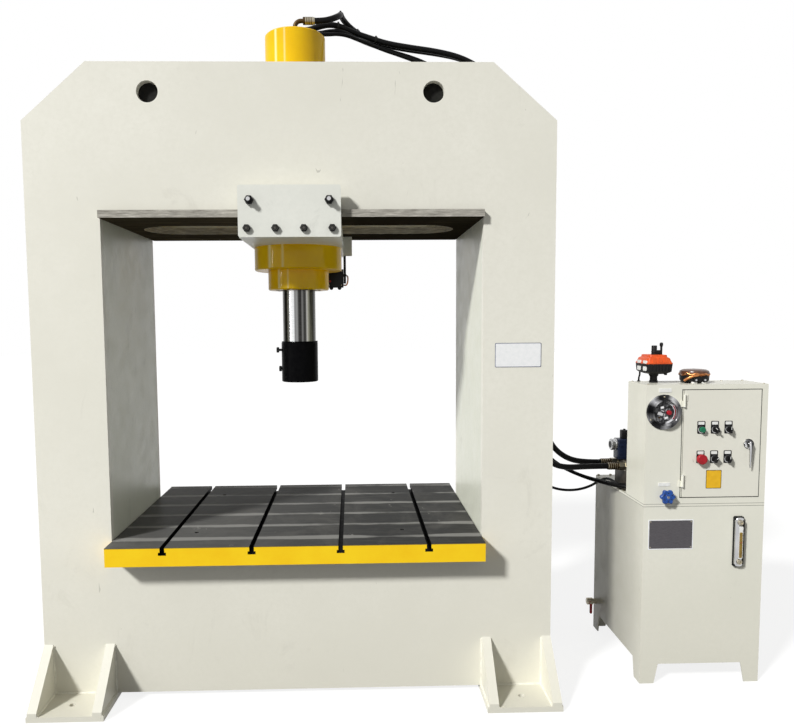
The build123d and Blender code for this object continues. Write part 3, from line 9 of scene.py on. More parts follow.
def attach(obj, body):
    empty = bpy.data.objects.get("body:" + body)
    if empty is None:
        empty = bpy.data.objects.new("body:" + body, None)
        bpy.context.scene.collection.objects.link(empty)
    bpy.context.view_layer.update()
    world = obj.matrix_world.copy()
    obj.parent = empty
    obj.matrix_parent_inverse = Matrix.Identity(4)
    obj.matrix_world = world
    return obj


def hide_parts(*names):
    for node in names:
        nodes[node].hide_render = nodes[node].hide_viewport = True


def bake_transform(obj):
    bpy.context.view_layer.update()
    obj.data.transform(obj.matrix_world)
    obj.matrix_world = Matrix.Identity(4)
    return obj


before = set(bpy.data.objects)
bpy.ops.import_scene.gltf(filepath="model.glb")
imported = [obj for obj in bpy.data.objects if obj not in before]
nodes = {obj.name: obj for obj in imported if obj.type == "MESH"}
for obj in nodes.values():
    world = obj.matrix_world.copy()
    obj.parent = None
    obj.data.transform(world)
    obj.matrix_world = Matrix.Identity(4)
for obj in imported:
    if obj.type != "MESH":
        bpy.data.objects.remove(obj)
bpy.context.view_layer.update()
scene = bpy.context.scene
MM = 0.001
FRONT, BACK, LEFT, RIGHT, DOWN, UP = (Vector(way) for way in (
    (0, -1, 0), (0, 1, 0), (-1, 0, 0), (1, 0, 0), (0, 0, -1), (0, 0, 1)))

# Places that several pieces share, in millimetres
CYLINDER_X = -8
HANGER_FACE, BOLTS_X, BOLTS_Z = 414, (-165.5, -60.5, 44.5, 149.5), 1822
ROLLERS_X, ROLLERS_Z = (-155, 139), 1924
COLUMN_FACE, WELD_Z = -350, 561
STATION_FACE, DOOR_FACE = -328, -330
BOX_TOP, LID_TOP = 1220, 742
DIAL, WHEEL = (1445, 1112), (1459, 777)
BUTTONS_X, BUTTONS_Z = (1596, 1650.5, 1705), (1042, 924)
HOSES_Y, HOSES_Z = (-40, 50), 838


# Finishes: paint, machined and bare steel, chrome, rubber and plastics

def linear(value):
    """A screen value from 0 to 255 in the linear measure that shaders take."""
    value /= 255
    return value / 12.92 if value <= 0.04045 else ((value + 0.055) / 1.055) ** 2.4


def tone(colour):
    """A colour in screen values as a shader takes it; a socket stays as it is."""
    return colour if isinstance(colour, bpy.types.NodeSocket) else (*map(linear, colour), 1.0)


class Tree:
    """A node tree, with short calls that add a node and feed its sockets."""

    def __init__(self, tree):
        self.tree = tree

    def feed(self, socket, value):
        if isinstance(value, bpy.types.NodeSocket):
            self.tree.links.new(value, socket)
        else:
            socket.default_value = value

    def add(self, kind, result=0, settings=None, **inputs):
        node = self.tree.nodes.new(kind)
        for key, value in (settings or {}).items():
            setattr(node, key, value)
        for key, value in inputs.items():
            self.feed(node.inputs[key.replace("_", " ")], value)
        return node.outputs[result] if len(node.outputs) else None

    def math(self, kind, *values):
        node = self.tree.nodes.new("ShaderNodeMath")
        node.operation = kind
        for socket, value in zip(node.inputs, values):
            self.feed(socket, value)
        return node.outputs[0]

    def seen(self):
        """1 for what the camera sees, straight, through glass or in metal; 0 for other light."""
        rays = self.tree.nodes.new("ShaderNodeLightPath").outputs
        direct = self.math("MAXIMUM", rays["Is Camera Ray"], rays["Is Transmission Ray"])
        return self.math("MAXIMUM", direct, rays["Is Glossy Ray"])


class Finish(Tree):
    """A node material on object coordinates, with the steps that finishes share."""

    def __init__(self, name, colour, roughness=0.5, metallic=0.0, **sockets):
        self.material = bpy.data.materials.new(name)
        self.material.use_nodes = True
        super().__init__(self.material.node_tree)
        self.shader = next(n for n in self.tree.nodes if n.type == "BSDF_PRINCIPLED")
        coordinates = self.tree.nodes.new("ShaderNodeTexCoord").outputs
        self.place, self.facing = coordinates["Object"], coordinates["Normal"]
        self.set(Base_Color=tone(colour), Roughness=roughness, Metallic=metallic, **sockets)

    def set(self, **sockets):
        for key, value in sockets.items():
            self.feed(self.shader.inputs[key.replace("_", " ")], value)

    def relief(self, height, strength, distance):
        self.set(Normal=self.add("ShaderNodeBump", Height=height, Strength=strength, Distance=distance))

    def stretched(self, scale=(1, 1, 1), shift=(0, 0, 0)):
        return self.add("ShaderNodeMapping", Vector=self.place, Scale=scale, Location=shift)

    def noise(self, scale, detail=3.0, rough=0.55, warp=0.0, vector=None):
        return self.add("ShaderNodeTexNoise", Vector=vector or self.place, Scale=scale, Detail=detail,
                        Roughness=rough, Distortion=warp)

    def part(self, axis, source=None):
        return self.add("ShaderNodeSeparateXYZ", axis, Vector=source or self.place)

    def ramp(self, value, *stops):
        """Stops are (position, number or colour)."""
        node = self.tree.nodes.new("ShaderNodeValToRGB")
        self.feed(node.inputs["Fac"], value)
        elements = node.color_ramp.elements
        while len(elements) < len(stops):
            elements.new(0.5)
        for element, (position, colour) in zip(elements, stops):
            element.position = position
            element.color = tone(colour) if hasattr(colour, "__len__") else (colour, colour, colour, 1)
        return node.outputs["Color"]

    def rise(self, value, low, high, first=0.0, last=1.0):
        """From first at low to last at high."""
        return self.ramp(value, (low, first), (high, last))

    def beyond(self, value, edge, soft=0.0005):
        """1 where value is above edge, 0 below it."""
        return self.add("ShaderNodeMapRange", Value=value, From_Min=edge - soft, From_Max=edge + soft)

    def below(self, value, edge):
        return self.math("LESS_THAN", value, edge)

    def within(self, value, low, high, soft=0.0005):
        """1 where value lies between low and high."""
        return self.both(self.beyond(value, low, soft), self.flip(self.beyond(value, high, soft)))

    def flip(self, share):
        return self.math("SUBTRACT", 1.0, share)

    def both(self, share, *others):
        for other in others:
            share = self.math("MULTIPLY", share, other)
        return share

    def faces(self, axis, limit):
        """1 where the surface's normal has less than limit along the axis."""
        return self.below(self.part(axis, self.facing), limit)

    def upright(self, limit=0.5):
        """1 on upright faces."""
        return self.below(self.math("ABSOLUTE", self.part("Z", self.facing)), limit)

    def blend(self, share, first, second):
        node = self.tree.nodes.new("ShaderNodeMix")
        node.data_type = "RGBA"
        for index, value in ((0, share), (6, tone(first)), (7, tone(second))):
            self.feed(node.inputs[index], value)
        return node.outputs[2]

    def layered(self, body, *layers):
        """A body colour with layers, each (share, colour), laid over it in turn."""
        for share, colour in layers:
            body = self.blend(share, body, colour)
        return body


def painted(name, colour, shade, stain, stain_share=0.3, gloss=0.4, seed=0.0):
    """Sprayed paint: a slight cloudiness, faint smudges, a grey on what faces up that is settled dust and painted
    shade, darker towards the floor, and orange peel.
    """
    f = Finish(name, colour, gloss, Specular_IOR_Level=0.35)
    smudges = f.noise(5.5, 6, 0.7, 0.6, f.stretched((1, 1, 0.7), (seed, 3, 1)))
    scuffs = f.noise(34, 2, 0.5, 1.4, f.stretched((1, 1, 0.25), (0, seed, 2)))
    f.body = f.layered(
        colour,
        (f.rise(f.noise(2.1, 4, 0.6, vector=f.stretched(shift=(seed, seed, 0))), 0.3, 0.7), shade),
        (f.rise(f.noise(55, 6, 0.7), 0.40, 0.72, 0.0, 0.8), shade),
        (f.rise(smudges, 0.60, 0.72, 0.0, stain_share), stain),
        (f.rise(scuffs, 0.755, 0.78, 0.0, 0.45), (150, 146, 134)),
        # Upward faces greyer: settled dust and a painted shade on the tops
        (f.both(f.beyond(f.part("Z", f.facing), 0.75, 0.2), 0.45), (196, 193, 178)),
        # Darker towards the floor
        (f.math("MULTIPLY_ADD", f.beyond(f.part("Z"), 0.32, 0.3), -0.5, 0.5), (206, 203, 188)))
    f.set(Base_Color=f.body, Roughness=f.rise(f.noise(14), 0.3, 0.7, gloss - 0.06, gloss + 0.08))
    f.relief(f.noise(240, 3, 0.6), 0.14, 0.0006)
    return f


def plain_coat(name, colour, shade, gloss=0.4, grain=90.0, specular=0.3, bumps=0.12):
    """A moulded or sprayed finish of one colour with a fine unevenness."""
    f = Finish(name, colour, gloss, Specular_IOR_Level=specular)
    f.set(Base_Color=f.blend(f.rise(f.noise(grain, 4, 0.6), 0.35, 0.72), colour, shade),
          Roughness=f.rise(f.noise(grain / 3), 0.3, 0.7, max(gloss - 0.05, 0.02), gloss + 0.08))
    f.relief(f.noise(grain * 4, 2), bumps, 0.0004)
    return f


def bright_metal(name, colour, shade, gloss=0.25, grain=60.0, stretch=(1, 1, 1)):
    """Metal with fine marks drawn out along one direction."""
    f = Finish(name, colour, gloss, 1.0)
    marks = f.noise(grain, 5, 0.65, vector=f.stretched(stretch))
    f.set(Base_Color=f.blend(f.rise(marks, 0.3, 0.72), colour, shade),
          Roughness=f.rise(marks, 0.3, 0.7, max(gloss - 0.08, 0.03), gloss + 0.12))
    f.relief(marks, 0.1, 0.0003)
    return f


def station_paint():
    """Station paint, with the dark joints between tank, lid and box, and a painted shade on the tank's left side,
    darker towards its rear.
    """
    f = painted("station_paint", (234, 232, 219), (226, 225, 211), (200, 198, 186), 0.22, 0.34, 7.0)
    height = f.part("Z")
    joint = f.math("MAXIMUM", f.within(height, 0.7311, 0.7327, 0.0003), f.within(height, 0.7413, 0.7428, 0.0003))
    # Painted shade: the tank's left side below the lid, darker towards its rear
    rear = f.both(f.rise(f.math("ADD", f.part("Y"), 0.5), 0.16, 0.5, 0.12, 0.8), f.faces("X", -0.5),
                  f.below(height, 0.7312))
    f.set(Base_Color=f.layered(f.body, (rear, (132, 130, 118)), (f.both(joint, f.upright(), 0.9), (70, 68, 60))))
    return f


def door_paint():
    """Station paint, with a painted shade on the door's returned edges in its gap."""
    f = painted("door_paint", (234, 232, 219), (227, 225, 212), (202, 200, 188), 0.2, 0.34, 9.0)
    # Painted shade on the door's edges behind its face
    f.set(Base_Color=f.blend(f.beyond(f.part("Y"), -0.3272, 0.0004), f.body, (150, 148, 138)))
    return f


def slide_steel():
    """Bare plate with mill scale: pale on its sawn edge, brown and dark below, where the scale's colour also
    carries a painted reflection and shade, and a painted shadow of the carriage on its right part.
    """
    f = Finish("slide_steel", (120, 112, 98), 0.6, Specular_IOR_Level=0.0)
    streak = f.noise(9, 6, 0.7, vector=f.stretched((0.35, 5, 5)))
    scale = f.ramp(streak, (0.3, (46, 42, 34)), (0.5, (78, 71, 57)), (0.72, (118, 108, 88)))
    # Painted shadow of the carriage on the plate's right part, broken up by noise
    painted_carriage_shadow = f.both(f.beyond(f.part("X"), 0.1, 0.16), f.rise(f.noise(3, 4, 0.6), 0.3, 0.6, 0.6, 0.85))
    edge = f.ramp(f.noise(30, 6, 0.7, vector=f.stretched((0.6, 1, 6))),
                  (0.3, (126, 123, 115)), (0.52, (172, 168, 158)), (0.7, (210, 206, 196)))
    f.set(Base_Color=f.layered(scale, (painted_carriage_shadow, (40, 36, 29)), (f.upright(), edge)),
          Roughness=f.rise(streak, 0.3, 0.7, 0.42, 0.62))
    f.relief(streak, 0.2, 0.0006)
    return f


def table_steel():
    """Planed dark top with pale bands of the planing passes that are also a painted reflection, a painted
    highlight towards the left, painted shade that makes the slots black, yellow paint on the edges outside the
    columns.
    """
    top_z, slots_x, band = 0.6325, 0.336, 2 * math.pi / 0.172
    f = Finish("table_steel", (90, 90, 88), 0.4, Specular_IOR_Level=0.01)
    x, y, z = (f.part(axis) for axis in "XYZ")
    planed = f.noise(16, 7, 0.7, vector=f.stretched((0.3, 6, 1)))
    clouds = f.noise(3.2, 5, 0.65, 0.8, f.stretched((1.4, 1, 1), (3, 0, 0)))
    worn = f.noise(20, 5, 0.7, vector=f.stretched((1, 0.4, 1)))
    drift = f.math("MULTIPLY_ADD", f.noise(2.6, 4, 0.6, vector=f.stretched((1, 2, 1))), 1.3, -0.65)
    # Pale planing bands, brightened as a painted reflection
    stroke_and_sheen = f.math("ADD", f.math("COSINE", f.math("MULTIPLY", f.math("SUBTRACT", y, 0.004), band)), drift)
    top = f.layered(
        f.ramp(planed, (0.28, (28, 29, 29)), (0.5, (46, 46, 45)), (0.74, (76, 76, 72))),
        (f.rise(clouds, 0.46, 0.72, 0.0, 0.5), (92, 90, 86)),
        (f.rise(stroke_and_sheen, 0.74, 0.96, 0.0, 0.58), (160, 159, 154)),
        (f.rise(worn, 0.66, 0.74, 0.0, 0.6), (150, 148, 142)),
        # Painted highlight: the top lighter towards the left
        (f.rise(f.math("ADD", x, 0.7), 0.0, 1.0, 0.26, 0.02), (150, 149, 145)))
    yellow_edge = f.layered(
        (255, 216, 40), (f.rise(f.noise(7, 5, 0.6), 0.3, 0.7), (250, 202, 34)),
        (f.rise(f.noise(26, 5, 0.7, 0.5), 0.70, 0.74, 0.0, 0.5), (196, 142, 30)))
    from_slots = f.math("ABSOLUTE", f.math("SUBTRACT", f.math("ABSOLUTE", x), slots_x))
    # Painted shade: the slots near-black below the top
    slot = f.both(f.within(from_slots, 0.150, 0.1845, 0.0006), f.below(z, top_z))
    front = f.faces("Y", -0.5)
    outer = f.both(f.upright(), f.below(y, -0.352),
                   f.math("MAXIMUM", front, f.beyond(f.math("ABSOLUTE", x), 0.7195)))
    f.set(Base_Color=f.layered(
        (42, 42, 41), (f.beyond(z, 0.6322, 0.0004), top), (outer, yellow_edge),
        (f.both(f.within(z, 0.6305, 0.6335), outer), (120, 104, 60)),
        (f.both(slot, f.flip(f.both(front, f.below(y, -0.4465)))), (13, 13, 13))),
        Roughness=f.rise(planed, 0.3, 0.7, 0.3, 0.48))
    f.relief(planed, 0.1, 0.0004)
    return f


def chrome_rod():
    """Hard chrome, ground and polished, with the reflections of a long polished bar painted in as soft upright
    bands.
    """
    f = Finish("rod_chrome", (190, 190, 190), 0.2, 1.0)
    across = f.math("DIVIDE", f.math("ADD", f.part("X"), 0.078), 0.14)
    # Painted reflections: dark and pale upright stripes by place across the rod
    bands = f.ramp(across, (0.0, (88, 87, 82)), (0.06, (52, 51, 47)), (0.155, (44, 42, 38)),
                   (0.175, (205, 204, 202)), (0.215, (190, 189, 188)), (0.235, (84, 84, 84)),
                   (0.265, (250, 250, 250)), (0.37, (236, 238, 238)), (0.40, (128, 128, 128)),
                   (0.47, (146, 147, 146)), (0.52, (48, 48, 46)), (0.59, (26, 26, 25)),
                   (0.62, (112, 112, 110)), (0.65, (98, 98, 96)), (0.68, (38, 38, 37)),
                   (0.73, (66, 66, 63)), (0.76, (182, 181, 176)), (0.80, (160, 159, 152)),
                   (0.86, (88, 88, 83)), (0.91, (128, 128, 122)), (0.94, (58, 58, 56)))
    grain = f.noise(120, 4, 0.6, vector=f.stretched((0.2, 0.2, 4)))
    f.set(Base_Color=f.blend(f.rise(grain, 0.35, 0.8, 0.0, 0.25), bands, (120, 120, 118)))
    return f


def gloss_yellow():
    """Glossy yellow, with two pale upright reflections painted on its left."""
    f = Finish("yellow_gloss", (246, 202, 12), 0.4, Specular_IOR_Level=0.03, Coat_Weight=0.3,
               Coat_Roughness=0.06)
    body = f.blend(f.rise(f.noise(6, 4), 0.35, 0.7), (246, 202, 10), (236, 186, 6))
    across = f.part("X", f.facing)
    # Painted reflections: two pale upright stripes on faces turned to the front left
    painted_sheen = f.math("ADD", f.both(f.within(across, -0.60, -0.54, 0.025), 0.75),
                   f.both(f.within(across, -0.30, -0.25, 0.02), 0.45))
    outward = f.both(f.faces("Y", 0.0), f.upright(0.4))
    f.set(Base_Color=f.blend(f.both(painted_sheen, outward), body, (255, 246, 190)))
    f.relief(f.noise(150, 2), 0.05, 0.0006)
    return f


def case_finish():
    """Gauge: polished flange and bezel with dark and pale reflections painted in as streaks, dark dial, pale
    scale on its right.
    """
    f = Finish("gauge_case", (120, 120, 120), 0.24, 0.5, Specular_IOR_Level=0.2)
    x, z = (f.math("SUBTRACT", f.part(axis), middle * MM) for axis, middle in zip("XZ", DIAL))
    out = f.math("SQRT", f.math("ADD", f.math("POWER", x, 2.0), f.math("POWER", z, 2.0)))
    way = f.math("MULTIPLY_ADD", f.math("ARCTAN2", z, x), 1 / (2 * math.pi), 0.5)
    # Painted reflections: dark and pale streaks round the flange and bezel, by direction from the middle
    streaks = f.ramp(way, (0.0, (24, 24, 26)), (0.07, (130, 130, 132)), (0.12, (20, 20, 22)),
                     (0.21, (34, 34, 36)), (0.27, (176, 176, 178)), (0.33, (48, 48, 50)),
                     (0.46, (128, 128, 130)), (0.57, (70, 70, 72)), (0.66, (206, 206, 206)),
                     (0.71, (50, 50, 52)), (0.8, (26, 26, 28)), (0.87, (196, 196, 198)),
                     (0.93, (38, 38, 40)), (1.0, (24, 24, 26)))
    face = f.ramp(f.noise(60, 4, 0.6, 0.8), (0.38, (18, 18, 20)), (0.52, (66, 66, 68)), (0.64, (150, 150, 152)))
    scale = f.both(f.within(out, 0.0372, 0.0452, 0.0003), f.beyond(f.part("X"), 1.452, 0.006))
    dial = f.below(out, 0.0465)
    f.set(Base_Color=f.blend(dial, streaks, f.blend(scale, face, (232, 232, 234))),
          Metallic=f.math("MULTIPLY_ADD", dial, -0.5, 0.5))
    return f


def cabinet_plate():
    """Mounting plate in bare zinc, with dark contactors and pale terminal strips standing on it."""
    f = Finish("cabinet_plate", (186, 186, 182), 0.45, Specular_IOR_Level=0.3)
    raised, outer = (f.flip(f.beyond(f.part("Y"), depth)) for depth in (-0.156, -0.225))
    f.set(Base_Color=f.layered((190, 191, 188), (f.rise(f.noise(40, 4, 0.6), 0.3, 0.7), (170, 171, 168)),
                               (raised, (44, 46, 50)), (outer, (186, 186, 180))))
    return f


def hose_rubber():
    f = Finish("hose_rubber", (10, 10, 11), 0.42, Specular_IOR_Level=0.1)
    f.set(Base_Color=f.rise(f.noise(50, 4, 0.6), 0.3, 0.75, (5, 5, 6), (15, 15, 15)))
    f.relief(f.noise(240, 3, 0.6), 0.25, 0.0005)
    return f


def mirror_chrome():
    """Chrome plate, with dark and pale reflections painted in as bands where its face turns away."""
    f = Finish("bright_chrome", (210, 210, 210), 0.12, 1.0)
    turned = f.math("MULTIPLY_ADD", f.part("Z", f.facing), 0.8, f.part("X", f.facing))
    # Painted reflections, by the way the face turns
    f.set(Base_Color=f.ramp(
        f.math("MULTIPLY_ADD", turned, 0.28, 0.5),
        (0.06, (60, 60, 62)), (0.22, (20, 20, 22)), (0.33, (196, 196, 198)),
        (0.43, (236, 236, 236)), (0.5, (118, 118, 120)), (0.58, (30, 30, 32)),
        (0.74, (96, 96, 98)), (0.84, (236, 236, 236)), (0.96, (70, 70, 72))))
    f.relief(f.noise(50, 4), 0.03, 0.0003)
    return f


cream = painted("cream_paint", (237, 235, 223), (229, 227, 214), (202, 199, 186))
carriage_cream = painted("carriage_paint", (238, 238, 229), (226, 227, 218), (190, 190, 180), 0.4, seed=4.0)
column_cream = painted("column_paint", (226, 227, 212), (214, 216, 199), (176, 176, 160), 0.45, 0.34, 2.0)
station_cream = station_paint()
door_cream = door_paint()
slide = slide_steel()
planed_steel = table_steel()
rod_chrome = chrome_rod()
yellow = gloss_yellow()
gauge_case = case_finish()
cabinet = cabinet_plate()
rubber = hose_rubber()
chrome = mirror_chrome()
worn_black = bright_metal("worn_black", (96, 94, 90), (56, 54, 50), 0.4, 90)
grey_plate = bright_metal("etched_plate", (96, 93, 96), (78, 76, 79), 0.5, 90, (1, 1, 14))
zinc = bright_metal("zinc_plate", (176, 170, 154), (140, 132, 112), 0.34, 55)
aluminium = bright_metal("aluminium", (206, 206, 206), (178, 178, 180), 0.3, 70, (1, 1, 0.2))
brass = bright_metal("dull_brass", (84, 66, 42), (44, 36, 26), 0.46, 60)
raw_steel = bright_metal("turned_steel", (150, 148, 142), (116, 114, 108), 0.34, 80, (1, 6, 1))
copper = bright_metal("copper_tube", (206, 140, 88), (128, 74, 40), 0.26, 50)
black_steel = plain_coat("black_oxide", (13, 13, 14), (26, 26, 26), 0.42, 70, 0.16)
black_plastic = plain_coat("black_plastic", (14, 14, 15), (24, 24, 24), 0.5, 110, 0.2)
white_plastic = plain_coat("white_plastic", (240, 240, 236), (228, 228, 222), 0.4, 90)
white_enamel = plain_coat("white_enamel", (246, 246, 246), (236, 238, 238), 0.3, 60)
blue_line = plain_coat("blue_print", (52, 60, 96), (62, 70, 104), 0.4, 90)
warning_yellow = plain_coat("yellow_plate", (236, 186, 40), (226, 174, 34), 0.4, 60)
orange = plain_coat("orange_plastic", (224, 92, 40), (202, 76, 32), 0.4, 40)
green = plain_coat("green_plastic", (22, 116, 80), (16, 96, 68), 0.35, 60)
red = plain_coat("red_plastic", (172, 22, 36), (140, 16, 28), 0.32, 60)
blue = plain_coat("blue_plastic", (16, 76, 158), (10, 54, 122), 0.28, 60, 0.4)
navy = plain_coat("navy_coil", (20, 30, 54), (13, 20, 38), 0.36, 60)
motor_grey = plain_coat("motor_grey", (78, 92, 108), (66, 80, 96), 0.42, 70)
holder_black = plain_coat("holder_black", (3, 3, 4), (10, 10, 11), 0.34, 60, 0.03)
cast_iron = plain_coat("cast_iron", (66, 60, 52), (44, 40, 36), 0.55, 80, 0.3, 0.3)
brown_cap = plain_coat("brown_cap", (104, 66, 44), (58, 38, 28), 0.26, 40, 0.4)
amber = plain_coat("amber_oil", (150, 122, 40), (112, 88, 26), 0.16, 40, 0.4)
seal_black = plain_coat("seal_rubber", (26, 26, 24), (38, 38, 35), 0.7, 60, 0.1)
weld_cream = plain_coat("painted_weld", (232, 230, 217), (212, 209, 195), 0.36, 40, 0.35, 0.4)

# Every other solid is cream
finish_of = {name: finish for finish, names in (
    (column_cream, "column_inner_plates"), (carriage_cream, "carriage_plate hanger_plates"),
    (station_cream, "oil_tank tank_legs tank_lid control_box"), (door_cream, "door"),
    (cabinet, "electrical_plate"), (yellow, "cylinder_barrel cylinder_gland cylinder_cap"),
    (slide, "beam_slide_plate"), (planed_steel, "table"), (rod_chrome, "ram_rod"),
    (raw_steel, "piston roller_front_left roller_front_right roller_rear_left roller_rear_right"),
    (holder_black, "tool_holder"), (black_steel, "clamp_screws roller_studs hanger_bolts"),
    (black_plastic, "limit_switch gauge_needle button_housings selector_1 selector_2 selector_3"
                    " selector_4 switch_unit coil_unit"),
    (brass, "port_elbows"), (zinc, "hose_fittings gauge_valve"), (red, "drain_lever stop_button"),
    (gauge_case, "pressure_gauge"), (chrome, "lock_handle"), (aluminium, "level_gauge"),
    (green, "start_button"), (blue, "handwheel"), (cast_iron, "valve_manifold"),
    (navy, "solenoid_valve"), (motor_grey, "motor_pump_unit"),
) for name in names.split()}
for name in nodes:
    mesh = nodes[name].data
    mesh.materials.clear()
    mesh.materials.append(finish_of.get(name, cream).material)


# Patterns: geometry trees for what repeats, such as bolts, rivets, weld scales and dial marks

class Pattern(Tree):
    """A geometry tree with named sizes in metres, which ends in real mesh with its finish on it."""

    def __init__(self, name, **sizes):
        super().__init__(bpy.data.node_groups.new(name, "GeometryNodeTree"))
        socket = self.tree.interface.new_socket
        socket(name="Geometry", in_out="INPUT", socket_type="NodeSocketGeometry")
        self.keys = {}
        for size, value in sizes.items():
            made = socket(name=size, in_out="INPUT", socket_type="NodeSocketFloat")
            made.default_value = value
            self.keys[size] = made.identifier
        self.keys["finish"] = socket(name="finish", in_out="INPUT", socket_type="NodeSocketMaterial").identifier
        socket(name="Geometry", in_out="OUTPUT", socket_type="NodeSocketGeometry")
        self.given = self.tree.nodes.new("NodeGroupInput").outputs

    def lifted(self, shape, height):
        return self.add("GeometryNodeTransform", Geometry=shape,
                        Translation=self.add("ShaderNodeCombineXYZ", Z=height))

    def disc(self, sides, radius, height, low=0.0):
        """A cylinder that stands on the height low."""
        shape = self.add("GeometryNodeMeshCylinder", Vertices=sides, Radius=radius, Depth=height)
        return self.lifted(shape, self.math("MULTIPLY_ADD", height, 0.5, low))

    def taper(self, sides, bottom, top, height, low):
        """A cone's foot that stands on the height low, between two radii."""
        shape = self.add("GeometryNodeMeshCone", Vertices=sides, Radius_Top=top, Radius_Bottom=bottom,
                         Depth=height)
        return self.lifted(shape, low)

    def copied(self, *shapes):
        """The shapes on every given point, standing along the point's own direction."""
        joined = self.tree.nodes.new("GeometryNodeJoinGeometry")
        for shape in reversed(shapes):
            self.feed(joined.inputs[0], shape)
        aim = self.add("GeometryNodeInputNamedAttribute", settings={"data_type": "FLOAT_VECTOR"}, Name="aim")
        stand = self.add("FunctionNodeAlignRotationToVector", settings={"axis": "Z"}, Vector=aim)
        return self.add("GeometryNodeInstanceOnPoints", Points=self.given["Geometry"],
                        Instance=joined.outputs[0], Rotation=stand)

    def closed(self, shape):
        real = self.add("GeometryNodeRealizeInstances", Geometry=shape)
        self.add("NodeGroupOutput", Geometry=self.add("GeometryNodeSetMaterial", Geometry=real,
                                                      Material=self.given["finish"]))
        return self

    def grown(self, name, start, finish, **sizes):
        """The plain mesh that the tree makes from a start mesh."""
        holder = bpy.data.objects.new(name + "_start", start)
        scene.collection.objects.link(holder)
        modifier = holder.modifiers.new(name, "NODES")
        modifier.node_group = self.tree
        modifier[self.keys["finish"]] = finish.material
        for size, value in sizes.items():
            modifier[self.keys[size]] = value
        bpy.context.view_layer.update()
        seen = bpy.context.evaluated_depsgraph_get()
        mesh = bpy.data.meshes.new_from_object(holder.evaluated_get(seen), depsgraph=seen)
        mesh.name = name
        holder.modifiers.clear()
        bpy.data.objects.remove(holder)
        bpy.data.meshes.remove(start)
        return mesh


def hex_bolt_pattern():
    """Washer, hexagon head with a chamfered crown, and shank below."""
    p = Pattern("hex_bolt", corner=0.014, head=0.012, crown=0.0025, washer=0.016, washer_height=0.0025,
                shank=0.008, shank_length=0.02)
    size, floor = p.given, p.given["washer_height"]
    straight = p.math("SUBTRACT", size["head"], size["crown"])
    return p.closed(p.copied(
        p.disc(28, size["washer"], floor), p.disc(6, size["corner"], straight, floor),
        p.taper(6, size["corner"], p.math("MULTIPLY", size["corner"], 0.82), size["crown"],
                p.math("ADD", floor, straight)),
        p.disc(20, size["shank"], size["shank_length"], p.math("MULTIPLY", size["shank_length"], -1.0))))


def stud_end_pattern():
    """The chamfered end of a stud beyond its nut."""
    p = Pattern("stud_end", radius=0.01, length=0.018, chamfer=0.002)
    size = p.given
    straight = p.math("SUBTRACT", size["length"], size["chamfer"])
    tip = p.math("SUBTRACT", size["radius"], size["chamfer"])
    return p.closed(p.copied(p.disc(28, size["radius"], straight),
                             p.taper(28, size["radius"], tip, size["chamfer"], straight)))


def rivet_pattern():
    """A low domed head, for rivets and small screws."""
    p = Pattern("rivet", radius=0.003, height=0.0015)
    ball = p.add("GeometryNodeMeshUVSphere", Segments=16, Rings=8, Radius=1.0)
    flat = p.add("ShaderNodeCombineXYZ", X=p.given["radius"], Y=p.given["radius"], Z=p.given["height"])
    return p.closed(p.copied(p.add("GeometryNodeTransform", Geometry=ball, Scale=flat)))


def socket_screw_pattern():
    """A cap screw with a chamfered rim and a socket in its head."""
    p = Pattern("socket_screw", radius=0.007, head=0.008, socket=0.0032)
    radius, head, socket = (p.given[size] for size in ("radius", "head", "socket"))
    return p.closed(p.copied(
        p.disc(24, radius, head), p.taper(24, radius, p.math("MULTIPLY", radius, 0.86), 0.0008, head),
        p.taper(6, p.math("MULTIPLY", socket, 1.08), socket, 0.0006, p.math("ADD", head, 0.0006))))


def weld_pattern():
    """A run of weld along a line, with the ripple of its scales."""
    p = Pattern("weld_run", radius=0.005, scale=0.004, ripple=0.14)
    size = p.given
    line = p.add("GeometryNodeResampleCurve", settings={"mode": "LENGTH"}, Length=size["scale"],
                 Curve=p.add("GeometryNodeMeshToCurve", Mesh=size["Geometry"]))
    count = p.add("GeometryNodeInputIndex")
    swell = p.math("MULTIPLY_ADD", p.math("SINE", p.math("MULTIPLY", count, 2.1)), size["ripple"], 1.0)
    drift = p.add("ShaderNodeTexNoise", settings={"noise_dimensions": "1D"}, Scale=1.0,
                  W=p.math("MULTIPLY", count, 0.07))
    swell = p.math("MULTIPLY", swell, p.math("MULTIPLY_ADD", drift, 0.5, 0.75))
    edge = p.add("GeometryNodeCurvePrimitiveCircle", Resolution=10, Radius=size["radius"])
    return p.closed(p.add("GeometryNodeCurveToMesh", Curve=line, Profile_Curve=edge, Scale=swell, Fill_Caps=True))


def bar_pattern():
    """A thin upright bar on every point, for dial marks, grille bars and ribs."""
    p = Pattern("thin_bar", width=0.001, length=0.004, height=0.0003)
    size = p.add("ShaderNodeCombineXYZ", X=p.given["width"], Y=p.given["height"], Z=p.given["length"])
    return p.closed(p.copied(p.add("GeometryNodeMeshCube", Size=size)))


hex_bolt = hex_bolt_pattern()
stud_end = stud_end_pattern()
rivet = rivet_pattern()
socket_screw = socket_screw_pattern()
weld_run = weld_pattern()
thin_bar = bar_pattern()


# The bench: plain shapes, each with its finish, gathered into one mesh for one body

def at(x, y, z):
    """A place given in millimetres."""
    return Vector((x, y, z)) * MM


def polar(middle, reach, turn):
    """The flat place at a distance from middle, in the direction turn in degrees."""
    turn = math.radians(turn)
    return middle[0] + reach * math.cos(turn), middle[1] + reach * math.sin(turn)


def facing_at(flat, y):
    """A place on the front from its (x, z)."""
    return flat[0], y, flat[1]


